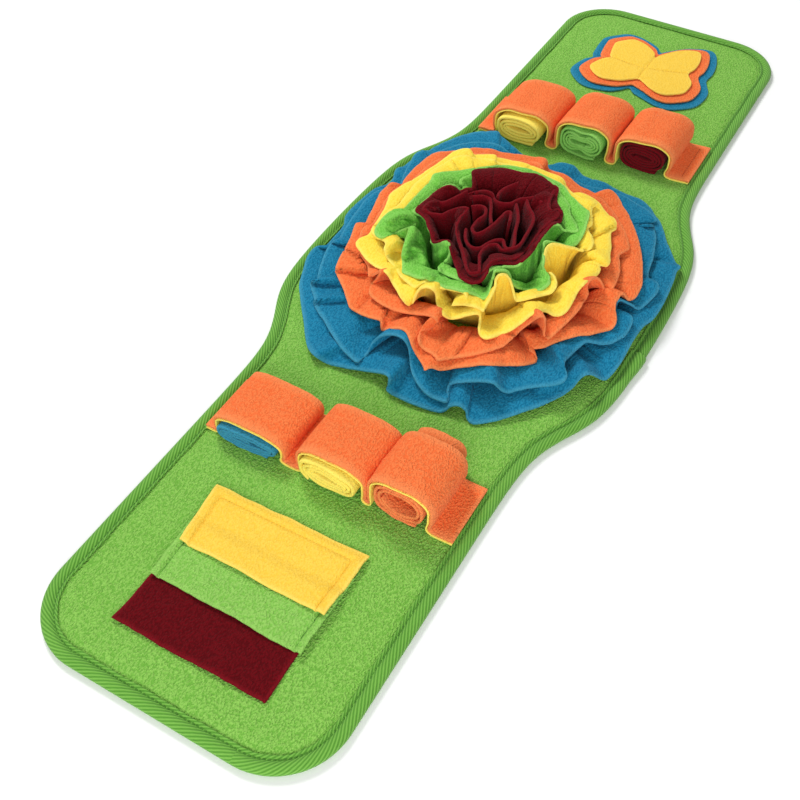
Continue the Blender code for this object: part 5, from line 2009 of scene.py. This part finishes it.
@dataclass
class Butterfly:
    """Three flat layers of one winged outline, each wider than the one above.

    The lower layers are notched below the body: a bell of the angle is cut off their reach.

    Attributes:
        middle_mm: its middle on the mat.
        wings: the top layer's outline, as angle in degrees and reach in millimetres.
        layers: the colour of each, its margin round the top layer and the notch's depth.
        notch_deg: the notch's angle and half its width.
        seams: the two lines of stitches across it, x and y in millimetres.
        thickness, air: thickness of a layer, and the air between two.
        rest: where the lowest layer's underside lies.
        samples, rings: a layer's grid.
    """

    middle_mm: tuple[float, float] = (1.0, 385.0)
    wings: tuple = (
        (13, 46), (26, 53), (40, 62), (53, 71), (60, 68), (70, 53), (83, 31), (90, 24),
        (98, 33), (110, 44), (118, 52), (128, 59), (146, 60), (155, 56), (175, 47), (182, 44),
        (190, 52), (204, 63), (214, 64), (230, 59), (246, 44), (258, 32), (270, 27),
        (284, 32), (295, 42), (304, 51), (313, 56), (330, 60), (342, 58), (355, 54),
    )
    layers: tuple = ((Slot.BLUE, 21.0, 9.0), (Slot.ORANGE, 11.5, 2.5), (Slot.YELLOW, 0.0, 0.0))
    notch_deg: tuple[float, float] = (-97.0, 7.0)
    seams: tuple = (((0, 357), (0, 385), (1, 411)), ((-45, 385), (0, 383), (47, 397)))
    thickness: float = 2.0 * MM
    rest: float = 6.7 * MM
    air: float = 0.7 * MM
    samples: int = 300
    rings: int = 14

    def seam_lines(self) -> list[Array]:
        """Each seam's points, x and y."""
        return [curve(metres(knots), 80) for knots in self.seams]

    def dip(self, x: Array, y: Array) -> Array:
        """How far the seams draw the top layer down: a bell of the distance to the nearest."""
        line = np.vstack(self.seam_lines())
        gap = np.min(np.hypot(x[..., None] - line[:, 0], y[..., None] - line[:, 1]), axis=-1)
        return 0.9 * MM * bell(gap / (1.7 * MM))

    def outline(self, margin_mm: float, notch_mm: float) -> Array:
        """A layer's outline about the butterfly's middle."""
        angle, reach = np.array(self.wings, dtype=float).T
        turn, reach = np.radians(angle), reach + margin_mm
        knots = np.column_stack([reach * np.cos(turn), reach * np.sin(turn)]) * MM
        line = curve(knots, self.samples, True)
        towards, wide = np.radians(self.notch_deg)
        off_notch = (np.arctan2(line[:, 1], line[:, 0]) - towards) / wide
        return line - unit(line) * (notch_mm * MM * bell(off_notch))[:, None]

    def build(self, shop: Workshop) -> None:
        """Each layer is rings drawn in from its outline; its edge is a half round."""
        half = self.thickness / 2
        edge = np.concatenate([[0.0], half * (1 - np.cos(np.linspace(0.3, 1.57, 5)))])
        within = np.linspace(half, 1.0, self.rings)[1:]
        inset = np.concatenate([edge, np.zeros_like(within)])[:, None]
        share = np.concatenate([np.zeros_like(edge), within])[:, None]
        depth = np.sqrt(np.clip(1 - (1 - np.minimum(inset / half, 1)) ** 2, 0, 1))
        depth = np.where(share > 0, 1.0, depth)
        for order, (slot, margin, notch) in enumerate(self.layers):
            outline = self.outline(margin, notch)
            size = np.linalg.norm(outline, axis=1)[None, :]
            scale = (1.0 - inset / size) * (1.0 - share)
            flat = np.array(self.middle_mm) * MM + outline[None] * scale[..., None]
            base = self.rest + order * (self.thickness + self.air) + half
            level = base + np.abs(0.35 * MM * uneven(raised(flat, 0.0), 0.06, order))
            on_top = order == len(self.layers) - 1
            dip = self.dip(flat[..., 0], flat[..., 1]) if on_top else np.zeros(flat.shape[:2])
            top = raised(flat, level + half * depth - dip * depth)
            bottom = raised(flat, level - half * depth)
            bottom[0] = top[0]
            thing = shop.piece(f"butterfly_{slot.value}_layer", disc_skin(top, bottom),
                               FLEECES[slot], slot, f"butterfly_{slot.value}")
            following = np.roll(outline, -1, axis=0)
            area = 0.5 * float(np.sum(outline[:, 0] * following[:, 1]
                                      - outline[:, 1] * following[:, 0]))
            sewn = self.stitches(shop, base) if on_top else []

    def stitches(self, shop: Workshop, level: float) -> list[bpy.types.Object]:
        """The stitches in both seams of the top layer."""
        height = level + self.thickness / 2 - 0.6 * MM
        skins = [seam(raised(line, height), 3.0 * MM, 2.2 * MM, 0.3 * MM)
                 for line in self.seam_lines()]
        return [shop.piece("butterfly_stitches", joined(skins), THREADS[Slot.YELLOW],
                           Slot.YELLOW)]


# ---------------------------------------------------------------------- studio
@dataclass
class Studio:
    """A plain pale floor, an even white surrounding, a soft key lamp and a weak one."""

    floor_half: float = 4.0
    floor_tone: float = 0.985
    surrounding: float = 0.41
    # place, side in metres, watts
    lamps: tuple = (
        ((-1.2, 0.7, 1.6), 0.6, 30.0),
        ((0.6, -1.5, 0.8), 0.9, 17.0),
    )

    def build(self) -> None:
        """The floor, the surrounding and the lamps, which point at the mat's middle."""
        half = self.floor_half
        mesh = bpy.data.meshes.new("floor")
        corners = [(-half, -half, 0), (half, -half, 0), (half, half, 0), (-half, half, 0)]
        mesh.from_pydata(corners, [], [(0, 1, 2, 3)])
        graph = Graph("floor_paper")
        tone = (self.floor_tone,) * 3 + (1.0,)
        mesh.materials.append(graph.surface({"Base Color": tone, "Roughness": 0.9,
                                             "Specular IOR Level": 0.1}))
        floor = bpy.data.objects.new("floor", mesh)
        bpy.context.scene.collection.objects.link(floor)
        world = bpy.data.worlds.new("surrounding")
        world.use_nodes = True
        light = world.node_tree.nodes["Background"].inputs
        light["Color"].default_value = (1.0, 1.0, 1.0, 1.0)
        light["Strength"].default_value = self.surrounding
        bpy.context.scene.world = world
        for where, side, watts in self.lamps:
            lamp = bpy.data.lights.new("lamp", "AREA")
            lamp.energy = watts
            lamp.size = side
            stand = bpy.data.objects.new("lamp", lamp)
            place = Vector(where)
            stand.matrix_world = (Matrix.Translation(place)
                                  @ (-place).to_track_quat("-Z", "Y").to_matrix().to_4x4())
            bpy.context.scene.collection.objects.link(stand)
        bpy.context.scene.view_settings.view_transform = "Standard"


def main() -> None:
    """Loads the frame and builds the mat, its pieces and the studio."""
    logging.basicConfig(level=logging.INFO, format="%(message)s")
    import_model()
    shop = Workshop()
    Mat(Outline()).build(shop)
    Flower().build(shop)
    for strap in STRAPS:
        strap.build(shop)
    Flaps().build(shop)
    Butterfly().build(shop)
    Studio().build()
    SIGHT.camera()
    log.info("%d triangles in all", shop.faces)


if __name__ == "__main__":
    main()
